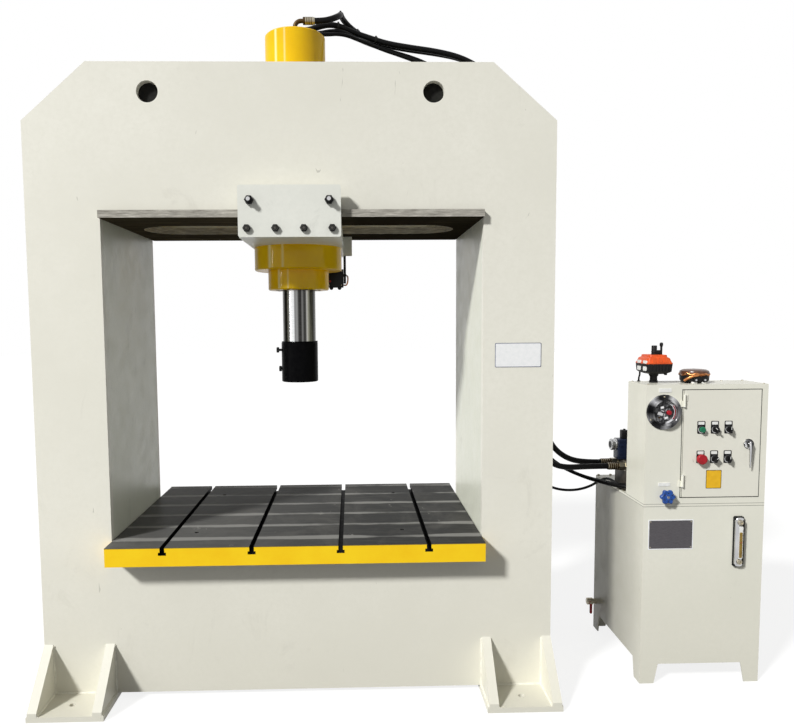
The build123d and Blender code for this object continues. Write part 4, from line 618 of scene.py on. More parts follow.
def place_mesh(name, mesh, crease=32):
    """A finished mesh as an object at the origin, smooth but for its sharp edges."""
    piece = bpy.data.objects.new(name, mesh)
    scene.collection.objects.link(piece)
    for polygon in mesh.polygons:
        polygon.use_smooth = True
    mesh.set_sharp_from_angle(angle=math.radians(crease))
    return piece


def fit(piece, body, slot, *stands_for):
    if body:
        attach(piece, body)
    if stands_for:
        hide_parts(*stands_for)
    return piece


def ring_round(build, middle, radius, side, up, sides, start=0.0):
    """Vertices on a circle, in metres, from the direction side towards up."""
    turns = (2 * math.pi * k / sides + start for k in range(sides))
    return [build.verts.new(middle + radius * (side * math.cos(turn) + up * math.sin(turn))) for turn in turns]


def skin(build, rings, ends=True):
    """Faces from ring to ring of vertices, and over both ends; a ring of one vertex is a point."""
    faces = []
    for low, high in zip(rings, rings[1:]):
        count = max(len(low), len(high))
        for k in range(count):
            after = (k + 1) % count
            corners = (low[k % len(low)], low[after % len(low)], high[after % len(high)], high[k % len(high)])
            loop = list(dict.fromkeys(corners))
            if len(loop) > 2:
                faces.append(build.faces.new(loop))
    for ring in (rings[0][::-1], rings[-1]) if ends else ():
        if len(ring) > 2:
            faces.append(build.faces.new(ring))
    return faces


def tube_skin(build, points, radius, sides, uv=None):
    """A round tube along a path, with its turn and length as UVs where a layer is given."""
    side, rings, lengths = None, [], [0.0]
    for i, point in enumerate(points):
        tangent = (points[min(i + 1, len(points) - 1)] - points[max(i - 1, 0)]).normalized()
        side = tangent.orthogonal() if side is None else side - tangent * side.dot(tangent)
        side.normalize()
        rings.append(ring_round(build, point, radius, side, tangent.cross(side), sides))
        if i:
            lengths.append(lengths[-1] + (point - points[i - 1]).length)
    faces = skin(build, rings)
    for index, face in enumerate(faces[:-2] if uv else ()):
        i, k = divmod(index, sides)
        for loop, (u, v) in zip(face.loops, ((k, i), (k + 1, i), (k + 1, i + 1), (k, i + 1))):
            loop[uv].uv = (u / sides, lengths[v])
    return faces


def drawn_line(route):
    """The smooth line through a route's control points in millimetres, as a list of points."""
    curve = bpy.data.curves.new("drawn_line", "CURVE")
    curve.dimensions = "3D"
    curve.resolution_u = 10
    spline = curve.splines.new("NURBS")
    spline.points.add(len(route) - 1)
    for point, place in zip(spline.points, route):
        point.co = (*at(*place), 1)
    spline.order_u = 3
    spline.use_endpoint_u = True
    holder = bpy.data.objects.new("drawn_line", curve)
    scene.collection.objects.link(holder)
    bpy.context.view_layer.update()
    mesh = bpy.data.meshes.new_from_object(holder.evaluated_get(bpy.context.evaluated_depsgraph_get()))
    points = [vertex.co.copy() for vertex in mesh.vertices]
    bpy.data.objects.remove(holder)
    bpy.data.meshes.remove(mesh)
    bpy.data.curves.remove(curve)
    return points


class Bench:
    """Gathers shapes in millimetres, each with its finish, and gives them out as one piece."""

    def __init__(self):
        self.build = bmesh.new()
        self.finishes = []

    def marked(self, faces, finish):
        if finish not in self.finishes:
            self.finishes.append(finish)
        for face in faces:
            face.material_index = self.finishes.index(finish)

    def turned(self, profile, base, way, finish, sides=32, start=0.0, hollow=False):
        """A shape turned about the line from base along way; profile is (radius, height) from the base.
        A hollow one is a ring: its profile closes on itself."""
        side = (way.cross(UP) if abs(way.z) < 0.5 else way.orthogonal()).normalized()
        rings = []
        for radius, height in profile:
            middle = at(*base) + way * height * MM
            rings.append(ring_round(self.build, middle, radius * MM, side, way.cross(side), sides, start)
                         if radius > 0 else [self.build.verts.new(middle)])
        if hollow:
            rings.append(rings[0])
        self.marked(skin(self.build, rings, not hollow), finish)

    def disc(self, radius, height, base, way, finish, sides, low=0):
        self.turned([(radius, low), (radius, height), (0, height)], base, way, finish, sides)

    def sheet(self, outline, finish, thickness, face=0.0, edge=0.0, across=RIGHT, base=(0, 0, 0)):
        """A flat outline of (across, up) places, given a thickness towards the viewer from face."""
        middle = [sum(side) / len(outline) for side in zip(*outline)]
        origin = Vector(base) + BACK * face
        rings = []
        for height, inset in ((0.0, 0.0), *(((thickness - edge, 0.0),) if edge else ()), (thickness, edge)):
            ring = []
            for a, b in outline:
                share = 1 - inset / (math.hypot(a - middle[0], b - middle[1]) or 1.0)
                ring.append(origin + across * (middle[0] + (a - middle[0]) * share)
                            + UP * (middle[1] + (b - middle[1]) * share) + across.cross(UP) * height)
            rings.append(ring)
        self.lofted(rings, finish)

    def plate(self, left, low, right, high, corner, finish, thickness, face=0.0, **settings):
        """A sheet with rounded corners."""
        self.sheet(rounded(left, low, right, high, corner), finish, thickness, face, **settings)

    def block(self, low, high, finish, edge=1.0, segments=2):
        """A block between two corners, with rounded edges."""
        made = bmesh.ops.create_cube(self.build, size=1.0)["verts"]
        low, high = at(*low), at(*high)
        for vertex in made:
            vertex.co = Vector([low[i] + (vertex.co[i] + 0.5) * (high[i] - low[i]) for i in range(3)])
        edges = {link for vertex in made for link in vertex.link_edges}
        shape = bmesh.ops.bevel(self.build, geom=list(edges), offset=edge * MM, segments=segments,
                                affect="EDGES", profile=0.5)
        kept = [*shape["verts"], *(vertex for vertex in made if vertex.is_valid)]
        self.marked({face for vertex in kept for face in vertex.link_faces}, finish)

    def lofted(self, rings, finish):
        """A skin through rings of places, closed at both ends."""
        self.marked(skin(self.build, [[self.build.verts.new(at(*place)) for place in ring] for ring in rings]),
                    finish)

    def tube(self, line, radius, sides, finish):
        self.marked(tube_skin(self.build, line, radius * MM, sides), finish)

    def grow(self, pattern, places, finish, **sizes):
        """Copies of a pattern, at places that each have a direction."""
        start = bpy.data.meshes.new("places")
        start.from_pydata([at(*place) for place, _ in places], [], [])
        aim = start.attributes.new("aim", "FLOAT_VECTOR", "POINT")
        aim.data.foreach_set("vector", [value for _, way in places for value in way])
        mesh = pattern.grown("copies", start, finish, **sizes)
        before = len(self.build.faces)
        self.build.from_mesh(mesh)
        self.build.faces.ensure_lookup_table()
        self.marked(self.build.faces[before:], finish)
        bpy.data.meshes.remove(mesh)

    def made(self, name, body, slot, *stands_for, crease=32):
        bmesh.ops.recalc_face_normals(self.build, faces=self.build.faces)
        mesh = bpy.data.meshes.new(name)
        self.build.to_mesh(mesh)
        self.build.free()
        for finish in self.finishes:
            mesh.materials.append(finish.material)
        return fit(place_mesh(name, mesh, crease), body, slot, *stands_for)


def rounded(left, low, right, high, corner, steps=5):
    """Outline of a rectangle with rounded corners, anticlockwise."""
    return [polar(middle, corner, first + 90 * k / steps) for middle, first in (
        ((right - corner, low + corner), -90), ((right - corner, high - corner), 0),
        ((left + corner, high - corner), 90), ((left + corner, low + corner), 180)) for k in range(steps + 1)]


def strip(middle, turn, low, high, foot, tip):
    """Outline from low to high along a direction, with its half widths at both ends."""
    return [polar(polar(middle, reach, turn), half, turn + 90)
            for reach, half in ((low, foot), (low, -foot), (high, -tip), (high, tip))]


# Pressure hoses, conduits and the cable from the column to the power station

hose_routes = {
    "hose_cap": [
        (68, 0, 2730), (112, 0, 2730), (153, 13, 2746), (179, 49, 2773), (182, 101, 2797), (196, 150, 2792),
        (229, 182, 2771), (285, 193, 2738), (370, 190, 2706), (480, 188, 2686), (600, 188, 2671),
        (710, 186, 2650), (802, 182, 2608), (885, 178, 2544), (958, 172, 2450), (1018, 164, 2326),
        (1056, 154, 2166), (1068, 140, 1966), (1070, 124, 1750), (1068, 106, 1530), (1062, 88, 1320),
        (1058, 73, 1140), (1072, 61, 1000), (1117, 54, 906), (1180, 51, 856), (1256, 50, 838),
        (1333, 50, 838)],
    "hose_rod": [
        (-3.5, 123.8, 2741), (38, 123.8, 2741), (84, 125, 2757), (132, 131, 2770), (182, 140, 2765),
        (236, 152, 2744), (296, 160, 2728), (380, 162, 2702), (490, 162, 2684), (610, 162, 2668),
        (715, 160, 2642), (800, 156, 2596), (880, 150, 2530), (957, 142, 2436), (1022, 132, 2316),
        (1058, 120, 2160), (1067, 104, 1960), (1067, 84, 1750), (1062, 60, 1540), (1056, 34, 1340),
        (1048, 8, 1160), (1040, -14, 1010), (1046, -28, 910), (1086, -37, 850), (1150, -40, 833),
        (1246, -40, 838), (1333, -40, 838)],
    "hose_pilot": [
        (56, 92, 2718), (92, 92, 2718), (130, 96, 2728), (172, 106, 2734), (214, 122, 2727),
        (254, 144, 2712), (302, 167, 2701), (374, 180, 2682), (460, 183, 2662), (545, 180, 2632),
        (620, 176, 2592), (690, 172, 2548), (760, 168, 2498), (828, 164, 2438), (892, 159, 2374),
        (954, 153, 2308), (1010, 149, 2244), (1026, 147, 2150), (1022, 147, 1990), (1019, 148, 1790),
        (1018, 148.5, 1570), (1018, 149, 1350), (1020, 148, 1180), (1028, 146, 1055), (1050, 143, 945),
        (1092, 137, 872), (1146, 128, 824), (1208, 108, 788), (1270, 72, 766), (1326, 24, 757),
        (1362, -26, 757), (1378, -74, 761), (1412, -105, 766), (1460, -112, 768), (1508, -112, 768)],
    "conduit_switch": [
        (94, 62, 2700), (130, 62, 2700), (168, 67, 2705), (212, 82, 2704), (256, 106, 2696),
        (304, 134, 2690), (366, 155, 2673), (440, 162, 2652), (520, 162, 2624), (595, 158, 2586),
        (665, 152, 2540), (735, 146, 2488), (803, 140, 2430), (870, 134, 2370), (938, 129, 2310),
        (1011, 125, 2250), (1029, 123, 2150), (1021, 122, 1990), (1018, 121, 1790), (1017, 120.5, 1570),
        (1017, 120, 1350), (1019, 119, 1180), (1026, 117, 1060), (1046, 114, 955), (1086, 110, 880),
        (1138, 102, 832), (1198, 80, 796), (1258, 38, 773), (1308, -18, 764), (1346, -76, 762),
        (1388, -121, 764), (1446, -134, 768), (1508, -134, 768)],
    "cable_column": [
        (1022, 150, 742), (1050, 150, 742), (1084, 151, 730), (1124, 153, 708), (1172, 156, 690),
        (1226, 158, 683), (1280, 156, 688), (1326, 147, 706), (1353, 120, 735), (1372, 84, 756),
        (1382, 44, 758), (1386, 4, 754), (1388, -34, 752), (1397, -68, 752), (1427, -86, 758),
        (1466, -90, 768), (1508, -90, 768)],
}
# Diameter in millimetres and length in metres
hose_sizes = {"hose_cap": (25, 2.93), "hose_rod": (25, 2.935), "hose_pilot": (16, 3.06),
              "conduit_switch": (16, 3.0), "cable_column": (12, 0.68)}
hose_lines = {name: drawn_line(route) for name, route in hose_routes.items()}


def tube(name, points, radius):
    """A rubber tube along points, with its length and turn as UVs."""
    build = bmesh.new()
    tube_skin(build, points, radius, 18, build.loops.layers.uv.new("UVMap"))
    mesh = bpy.data.meshes.new(name)
    build.to_mesh(mesh)
    build.free()
    mesh.materials.append(rubber.material)
    return place_mesh(name, mesh)


def bend_with_carriage(piece):
    """Bakes the piece's place into its mesh, and ties it to no body."""
    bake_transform(piece)


for name, line in hose_lines.items():
    size, length = hose_sizes[name]
    hose = tube(name + "_rubber", line, size * MM / 2)
    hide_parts(name)
    if name == "cable_column":
        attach(hose, "frame")
    else:
        bend_with_carriage(hose)


# Frame and table: welds, blank plates, dark liners painting the shade in the lifting holes, and plugs in the
# tapped holes

def welded(name, lines, **sizes):
    """Runs of weld along lines of two places each, as a piece of the frame."""
    start = bpy.data.meshes.new("weld_lines")
    start.from_pydata([at(*place) for line in lines for place in line],
                      [(2 * k, 2 * k + 1) for k in range(len(lines))], [])
    fit(place_mesh(name, weld_run.grown(name, start, weld_cream, **sizes), 60), "frame", "cream_paint")


def frame_welds():
    """Round the feet's gussets and soles, inside the opening and under the table."""
    lines = []
    for side in (-1, 1):
        for front in (-1, 1):
            face, nose = front * 350, front * 519
            for flank in (725, 760, 965):
                lines.append([(side * flank, face, 24), (side * flank, face, 214)])
                lines.append([(side * flank, face, 20), (side * flank, nose, 20)])
            lines.append([(side * 762, face, 20), (side * 963, face, 20)])
    for side in (-1, 1):
        lines.append([(side * 723, 319, WELD_Z), (side * 723, -319, WELD_Z)])
        lines.append([(side * 716, -351, WELD_Z), (side * -2, -351, WELD_Z)])
    welded("frame_welds", lines, radius=0.0052, scale=0.0042, ripple=0.13)


def table_seat_welds():
    """Short stitches that hold the table on the base, and the base ribs to its plates."""
    lines = [[(x - 35, 352, WELD_Z), (x + 35, 352, WELD_Z)] for x in range(-600, 601, 240)]
    lines += [[(x + 16, y, 60), (x + 16, y, 520)] for x in (-336, 0, 336) for y in (-321, 321)]
    welded("base_stitches", lines, radius=0.0045, scale=0.004, ripple=0.15)


def blank_plates():
    """The column's white plate, the tank's grey plate, the door's yellow plate and two label plates."""
    bench = Bench()
    bench.plate(770, 1296, 950, 1390, 5, blue_line, 0.5, COLUMN_FACE)
    bench.plate(772.2, 1298.2, 947.8, 1387.8, 4, white_enamel, 0.75, COLUMN_FACE, edge=0.2)
    bench.plate(1395, 557, 1577, 679, 2, white_enamel, 0.6, STATION_FACE)
    bench.plate(1399, 561, 1573, 675, 1.5, grey_plate, 1.1, STATION_FACE, edge=0.3)
    bench.plate(1424, 1190, 1474, 1206, 2, white_plastic, 1.6, STATION_FACE, edge=0.4)
    bench.plate(1430, 815, 1478, 829, 2, white_plastic, 1.6, STATION_FACE, edge=0.4)
    bench.grow(rivet, [((x, -329, z), FRONT) for x in (1404, 1568) for z in (566, 670)], zinc,
               radius=0.0026, height=0.0016)
    bench.made("blank_plates", "frame", "cream_paint")
    bench = Bench()
    bench.plate(1621, 804, 1683, 878, 3, seal_black, 0.5, DOOR_FACE)
    bench.plate(1623, 806, 1681, 876, 2.4, warning_yellow, 0.9, DOOR_FACE, edge=0.2)
    bench.made("door_plate", "door_leaf", "cream_paint")


def lifting_hole_shade():
    """Dark liners that paint the shade inside the holes into the hollow beam."""
    bench = Bench()
    for x in (-533, 533):
        for y, way in ((-321, BACK), (321, FRONT)):
            bench.turned([(39.6, 0), (39.6, 120), (0, 120)], (x, y, 2332), way, seal_black, 40)
    bench.made("lifting_hole_shade_liners", "frame", "cream_paint")


def table_plugs():
    bench = Bench()
    holes = [(x, y) for x in (-415, 415) for y in (-255, 361)]
    for hole in holes:
        bench.turned([(8.6, 0), (8.6, 16.4), (8.0, 17)], (*hole, 600), UP, black_steel, 24)
    bench.grow(socket_screw, [((*hole, 616), UP) for hole in holes], black_steel, radius=0.0078,
               head=0.008, socket=0.004)
    bench.made("table_plugs", "frame", "black_steel")


# Carriage: bolts, studs and nuts, the limit switch and its wire

def carriage_bolts():
    """The hanger plates' bolts with their worn ends, and the nuts and ends of the roller studs."""
    plates = ((FRONT, -HANGER_FACE), (BACK, HANGER_FACE))
    bolts = [((x, face, BOLTS_Z), way) for way, face in plates for x in BOLTS_X]
    nuts = [((x, face, ROLLERS_Z), way) for way, face in plates for x in ROLLERS_X]
    bench = Bench()
    bench.grow(hex_bolt, bolts, black_steel, corner=0.0149, head=0.0105, washer=0.0125, shank=0.0078,
               shank_length=0.074)
    for (x, face, z), way in bolts:
        end = (x, face + 12.9 * way.y, z)
        bench.turned([(9.6, 0), (9.0, 0.5), (8.2, 0.5), (8.2, 0)], end, way, worn_black, 28, hollow=True)
        bench.disc(5.2, 0.3, end, way, worn_black, 6)
    bench.made("hanger_bolts_black", "carriage", "black_steel", "hanger_bolts", crease=25)
    bench = Bench()
    bench.grow(hex_bolt, nuts, black_steel, corner=0.0173, head=0.0135, washer=0.0145, shank=0.0099,
               shank_length=0.06)
    bench.grow(stud_end, [((x, face + 15.5 * way.y, z), way) for (x, face, z), way in nuts], black_steel,
               radius=0.0098, length=0.0185, chamfer=0.002)
    for (x, face, z), way in nuts:
        bench.disc(7.4, 0.5, (x, face + 33.7 * way.y, z), way, aluminium, 24)
        bench.turned([(14.8, 0), (14.8, 10.2)], (x, way.y * 373.5, z), way, black_steel, 28)
    bench.made("roller_studs_black", "carriage", "black_steel", "roller_studs", crease=25)


def roller_covers():
    """Bright rings and a snap ring on the face of each roller."""
    for side, x in zip(("left", "right"), ROLLERS_X):
        for end, way, y in (("front", BACK, -353), ("rear", FRONT, 353)):
            bench = Bench()
            bench.turned([(26.8, -0.1), (26.8, 0.5), (20.5, 0.5), (20.5, 0.2), (12.5, 0.2), (12.5, 0.7),
                          (10.4, 0.7), (10.4, -0.1)], (x, y, ROLLERS_Z), way, aluminium, 40)
            bench.made(f"roller_cover_{end}_{side}", f"roller_{end}_{side}_body", "bare_steel")


def switch_on_bracket():
    """Limit switch: box with a lid, gland, two rollers on arms and the copper-coloured wire."""
    bench = Bench()
    bench.block((107.3, 207.3, 1634), (181.7, 238.7, 1717.5), black_plastic, 3, 3)
    bench.block((111, 205.2, 1640), (178, 207.6, 1712), black_plastic)
    for x in (116, 173):
        for z in (1645, 1707):
            bench.turned([(2.2, 0), (2.2, 0.8), (1.4, 1.2), (0, 1.2)], (x, 205.2, z), FRONT, zinc, 12)
    bench.block((182.3, 215.3, 1652), (193.7, 222.7, 1821), black_plastic, 1.2)
    for x in (125.75, 163.25):
        middle = (x, 222.8, 1632.2)
        bench.turned([(3, 0), (3, 7.4)], middle, FRONT, zinc, 14)
        bench.turned([(7.6, 0), (8.8, 1), (8.8, 6.4), (7.6, 7.4)], middle, FRONT, black_steel, 22)
    bench.turned([(7, 0), (7, 9), (5, 12), (5, 14)], (181.6, 219, 1690), RIGHT, black_plastic, 18)
    bench.disc(5, 3, (120, 205.4, 1662), FRONT, red, 16)
    wire = drawn_line([(180, 228, 1690), (200, 226, 1692), (203, 222, 1672), (199, 222, 1650),
                       (190, 224, 1642), (178, 228, 1648)])
    bench.tube(wire, 3.4, 10, copper)
    bench.made("limit_switch_box", "carriage", "black_plastic", "limit_switch")


def holder_details():
    """Tool holder: clamp screws, the ear at its upper edge and the ring round the rod."""
    top = 1390.5
    bench = Bench()
    bench.block((60, -10, top), (69.5, 10, 1395.4), black_steel)
    bench.turned([(76.5, 0), (76.5, 3.2), (71.2, 4.4), (70.6, 4.4), (70.6, 0)], (CYLINDER_X, 0, 1390.4), UP,
                 holder_black, 64, hollow=True)
    for x, y in ((-52, -48), (-36, -60)):
        bench.turned([(4.2, 0), (4.2, 3.4), (3.4, 4), (0, 4)], (x, y, top), UP, aluminium, 16)
    bench.made("holder_ring", "ram", "black_steel")
    bench = Bench()
    for reach, z in ((18, 1357), (8, 1276)):
        bench.turned([(5.4, 0), (5.4, reach - 6.5), (11.3, reach - 6), (11.9, reach - 4.5), (11.9, reach + 3),
                      (10.6, reach + 4), (0, reach + 4)], (-85.6, 0, z), LEFT, black_steel, 28)
    bench.made("clamp_screw_heads", "ram", "black_steel", "clamp_screws")


def cylinder_screws():
    """Cap screws round the cap and the gland, and the wiper ring on the rod."""
    axis = (CYLINDER_X, 0)
    bench = Bench()
    bench.grow(socket_screw, [((*polar(axis, 104, 15 + 30 * k), 2659), UP) for k in range(12)], black_steel,
               radius=0.009, head=0.003, socket=0.0042)
    bench.grow(socket_screw, [((*polar(axis, 94, 22.5 + 45 * k), 1613), DOWN) for k in range(8)], black_steel,
               radius=0.008, head=0.0012, socket=0.004)
    bench.turned([(71.5, 0), (73, -1.4), (80, -1.4), (81.5, 0)], (*axis, 1612.6), UP, black_steel, 64,
                 hollow=True)
    bench.made("cylinder_screws", "carriage", "yellow_paint")


# Control box: gauge, legend plates, buttons, selectors, lock and the units on top

def pressure_gauge_details():
    """Dial with its marks, red zone, setting knob, glass ring and the three screws of the flange."""
    x, z = DIAL
    dial_y, card_y = -338, -338.6
    bench = Bench()
    bench.disc(46.6, 0.6, (x, dial_y, z), FRONT, gauge_case, 64)
    bench.disc(12, 1.4, (x, dial_y, z), FRONT, grey_plate, 40, 0.7)
    for patch, finish in ((((-30, -8), (-10, -14), (-6, -4), (-26, 3)), aluminium),
                          (((-16, 14), (-4, 17), (-6, 25), (-18, 22)), white_enamel),
                          (((0, -28), (13, -23), (11, -16), (-2, -20)), white_enamel)):
        bench.sheet([(x + a, z + b) for a, b in patch], finish, 1.2, card_y)
    bench.disc(4, 2.2, (x - 22, dial_y, z - 20), FRONT, brass, 16, 0.7)
    bench.disc(5, 2.4, (x + 16, dial_y, z + 22), FRONT, seal_black, 16, 0.7)
    step = 76 / 12
    for k in range(12):
        turn = -38 + step * k
        bench.sheet([polar(DIAL, 44, turn), polar(DIAL, 44, turn + step), polar(DIAL, 40, turn + step),
                     polar(DIAL, 40, turn)], red, 0.5, -338.8)
    marks = []
    for k in range(51):
        turn = 225 - 270 * k / 50
        marks.append((facing_at(polar(DIAL, 41.5 if k % 5 else 39.6, turn), -339.3),
                      facing_at(polar((0, 0), 1, turn), 0)))
    bench.grow(thin_bar, marks, seal_black, width=0.0009, length=0.0048, height=0.0005)
    for turn, length in ((148, 20), (-100, 24), (60, 17)):
        bench.sheet(strip(DIAL, turn, -4, length, 2, 0.8), aluminium, 0.5, -339.6)
    bench.turned([(53, 0), (53.2, 2), (53.2, 14), (51.5, 18.5), (49, 20), (47.2, 18.5), (46.6, 14), (46.6, 6)],
                 (x, -332.4, z), FRONT, gauge_case, 72, hollow=True)
    bench.turned([(69.2, 3.2), (69.2, 4.5), (67.4, 5.4), (64, 5.6), (60.5, 4.6), (57.5, 4.3), (54, 4.3),
                  (54, 3.2)], (x, -327.8, z), FRONT, gauge_case, 96, hollow=True)
    bench.turned([(9.5, 8.2), (9.5, 14), (8.4, 17), (6, 18.2), (0, 18.2)], (x + 15, -332, z - 1), FRONT, red, 32)
    bench.grow(rivet, [(facing_at(polar(DIAL, 60, turn), -331.8), FRONT) for turn in (90, 210, 330)], zinc,
               radius=0.0042, height=0.0026)
    bench.made("gauge_details", "frame", "chrome")


def door_gap_shadow():
    """A dark sheet in the gap round the door, a painted shadow of the gap."""
    bench = Bench()
    left, low, right, high = 1517.4, 766.6, 1837.4, 1201
    for a, b, c, d in ((left, low, 1519.8, high), (1834.2, low, right, high), (left, low, right, 769.8),
                       (left, 1198.2, right, high)):
        bench.sheet([(a, b), (c, b), (c, d), (a, d)], seal_black, 0.5, -328.1)
    bench.made("door_gap_shadow", "frame", "rubber")


def legend_plates():
    """Black legend plates with white windows, and a lens or pointer on each control."""
    start, stop = (BUTTONS_X[0], BUTTONS_Z[0]), (BUTTONS_X[0], BUTTONS_Z[1])
    bench = Bench()
    for x in BUTTONS_X:
        for z in BUTTONS_Z:
            bench.plate(x - 16, z - 18, x + 16, z + 33, 4, black_plastic, 0.7, DOOR_FACE, edge=0.2)
            bench.plate(x - 12, z + 18.5, x + 12, z + 30, 1.5, white_plastic, 0.9, DOOR_FACE, edge=0.1)
            if (x, z) != stop:
                bench.turned([(14.4, 5), (14.4, 5.6), (13.4, 6), (12.6, 6), (12.6, 5)], (x, DOOR_FACE, z), FRONT,
                             chrome, 36, hollow=True)
    bench.made("legend_plates", "door_leaf", "black_plastic")
    bench = Bench()
    bench.turned([(11.4, 0.9), (11.4, 8.2), (10.6, 9.6), (8.6, 10.2), (8.2, 9.6), (0, 9.3)],
                 facing_at(start, -338.4), FRONT, green, 36)
    bench.made("start_cap", "start_button_body", "green_plastic")
    bench = Bench()
    for profile in ([(19.9, 0.6), (19.9, 8), (18.6, 11.5), (15, 13.6), (8, 14.4), (0, 14.6)],
                    [(20.1, 1.4), (20.4, 2.6), (20.1, 4)]):
        bench.turned(profile, facing_at(stop, -338.8), FRONT, red, 44)
    bench.made("stop_cap", "stop_button_body", "red_plastic")
    selectors = [(x, z) for z in BUTTONS_Z for x in BUTTONS_X[1:]]
    for number, (middle, turn) in enumerate(zip(selectors, (45, 0, -45, 0)), 1):
        bench = Bench()
        bench.sheet(strip(middle, 90 + turn, 1.5, 12.2, 1.1, 1.1), white_plastic, 0.5, -355.3)
        bench.made(f"selector_mark_{number}", f"selector_{number}_body", "black_plastic")


def lock_lever():
    """Bright escutcheon with a keyhole, and a lever that tapers down from its hub."""
    x, z = 1788, 982
    bench = Bench()
    bench.turned([(20, 0), (20, 2.6), (18.6, 4.6), (15, 5.6), (10.5, 6.2), (0, 6.2)], (x, -330.2, z), FRONT,
                 chrome, 48)
    bench.turned([(9.4, 0), (9.4, 4), (8, 6), (5.4, 6.6), (0, 6.6)], (x - 12, -334.6, z + 2), FRONT, chrome, 32)
    bench.sheet([(x - 12.8, z - 2), (x - 11.2, z - 2), (x - 11.2, z + 5), (x - 12.8, z + 5)], seal_black, 0.5,
                -341.1)
    bench.turned([(9, 0), (9, 12), (7.6, 15.2), (4, 16.4), (0, 16.6)], (x, -336, z), FRONT, chrome, 36)
    bench.turned([(6.5, 0), (6.5, 25)], (x, -306.2, z), FRONT, zinc, 24)
    bench.lofted([[(x + wide * math.cos(math.radians(turn)), y - thick * math.sin(math.radians(turn)), z + lift)
                   for turn in range(0, 360, 18)] for lift, wide, thick, y in (
        (12, 4.6, 3.2, -348.2), (2, 6.8, 4.2, -349), (-14, 6.0, 4.2, -349), (-34, 4.8, 3.8, -349),
        (-60, 3.8, 3.2, -348.6), (-80, 2.8, 2.6, -347.6), (-92, 1.8, 1.8, -346.6), (-94.6, 0.9, 1.0, -346.3))],
        chrome)
    bench.block((x - 9, -309.2, z - 65), (x + 9, -306.2, z + 9), zinc)
    bench.made("lock_lever", "lock_handle_body", "chrome", "lock_handle")


def hinge_details():
    """Caps at the ends of the two hinges."""
    bench = Bench()
    for z in (812, 1132):
        for end in (z, z + 46.4):
            bench.turned([(5.4, 0), (5.4, 1.6)], (1525, -335, end), UP, white_plastic, 24)
    bench.made("hinge_caps", "frame", "cream_paint")


def box_top_bolts():
    bench = Bench()
    places = [(x, y) for x in (1386, 1850) for y in (-316, -160)] + [(1752, -178)]
    bench.grow(rivet, [((*place, BOX_TOP), UP) for place in places], zinc, radius=0.005, height=0.003)
    bench.made("box_top_screws", "frame", "zinc")


def pump_switch_unit():
    """Automatic pump switch: stem, ribbed black base, orange cover with bevels, gland and lever."""
    left, right, front, rear = 1394, 1500, -285, -160
    x, y, top = (left + right) / 2, (front + rear) / 2, 1335

    def level_rings(*levels):
        return [[(*place, z) for place in rounded(left + inset, front + inset, right - inset, rear - inset,
                                                  corner, 4)] for z, inset, corner in levels]

    def quad(a, half, z, near, deep):
        return [(a - half, near, z), (a + half, near, z), (a + half, deep, z), (a - half, deep, z)]

    bench = Bench()
    bench.turned([(16.9, 0.3), (16.9, 8), (14.5, 10), (14.5, 26), (17.5, 28), (19.5, 36), (27, 37)],
                 (x, y, BOX_TOP), UP, black_plastic, 36)
    bench.lofted(level_rings((1257, 24, 9), (1263, 9, 10), (1268, 3, 9), (1299, 0.4, 9)), black_plastic)
    bench.lofted(level_rings((1299, 0.2, 9), (1303, 0.2, 9), (1305, 3, 9), (1322, 9, 9), (1326, 16, 10),
                             (1334.6, 18, 9)), orange)
    pitch = (right - left - 28) / 6
    ribs = [((left + 14 + k * pitch, b, 1283), UP) for k in range(7) for b in (front + 1.6, rear - 1.6)]
    bench.grow(thin_bar, ribs, black_plastic, width=0.0055, length=0.028, height=0.0035)
    for a in (left + 30, x, right - 30):
        bench.lofted([quad(a, 9, 1304, front + 0.6, front + 10), quad(a, 6, 1324, front + 7, front + 16)], orange)
    for b in (front + 26, rear - 42):
        bench.plate(b - 17, 1300, b + 17, 1312, 4, white_plastic, 3.2, edge=0.4, across=FRONT,
                    base=(left + 3.2, 2 * b, 0))
        bench.plate(b - 17, 1271, b + 17, 1288, 5, white_plastic, 1.4, edge=0.3, across=FRONT,
                    base=(left + 1.2, 2 * b, 0))
    for profile in ([(11.6, 0), (11.6, 3), (10.6, 4), (10.6, 34), (9.6, 36), (0, 36)],
                    [(10.9, 8), (11.5, 9), (11.5, 12), (10.9, 13)]):
        bench.turned(profile, (x, y, top), UP, black_plastic, 28)
    bench.turned([(4.4, 0), (4.4, 30), (5, 32), (6.6, 36), (7, 41), (6, 46), (3, 48), (0, 48)], (x + 29, y, top),
                 UP, black_plastic, 22)
    bench.block((x + 6, y - 8, 1334), (x + 27, y + 8, 1352), black_plastic, 2)
    for b in (front + 12, rear - 12):
        for a in (left + 12, right - 12):
            bench.disc(3.4, 1.4, (a, b, 1311), UP, zinc, 14)
    bench.turned([(6, 0), (6, 7), (4.4, 9)], (right - 22, front + 22, 1262), DOWN, black_plastic, 18)
    lead = drawn_line([(1409, -178, 1267), (1409, -176, 1258), (1411, -172, 1248), (1410, -166, 1238),
                       (1411, -163, 1228), (1411, -162, 1221)])
    bench.tube(lead, 3.6, 12, rubber)
    bench.turned([(7, 0), (7, 3), (4.6, 4)], (1411, -162, BOX_TOP), UP, black_plastic, 18)
    bench.made("pump_switch", "frame", "orange_plastic", "switch_unit")


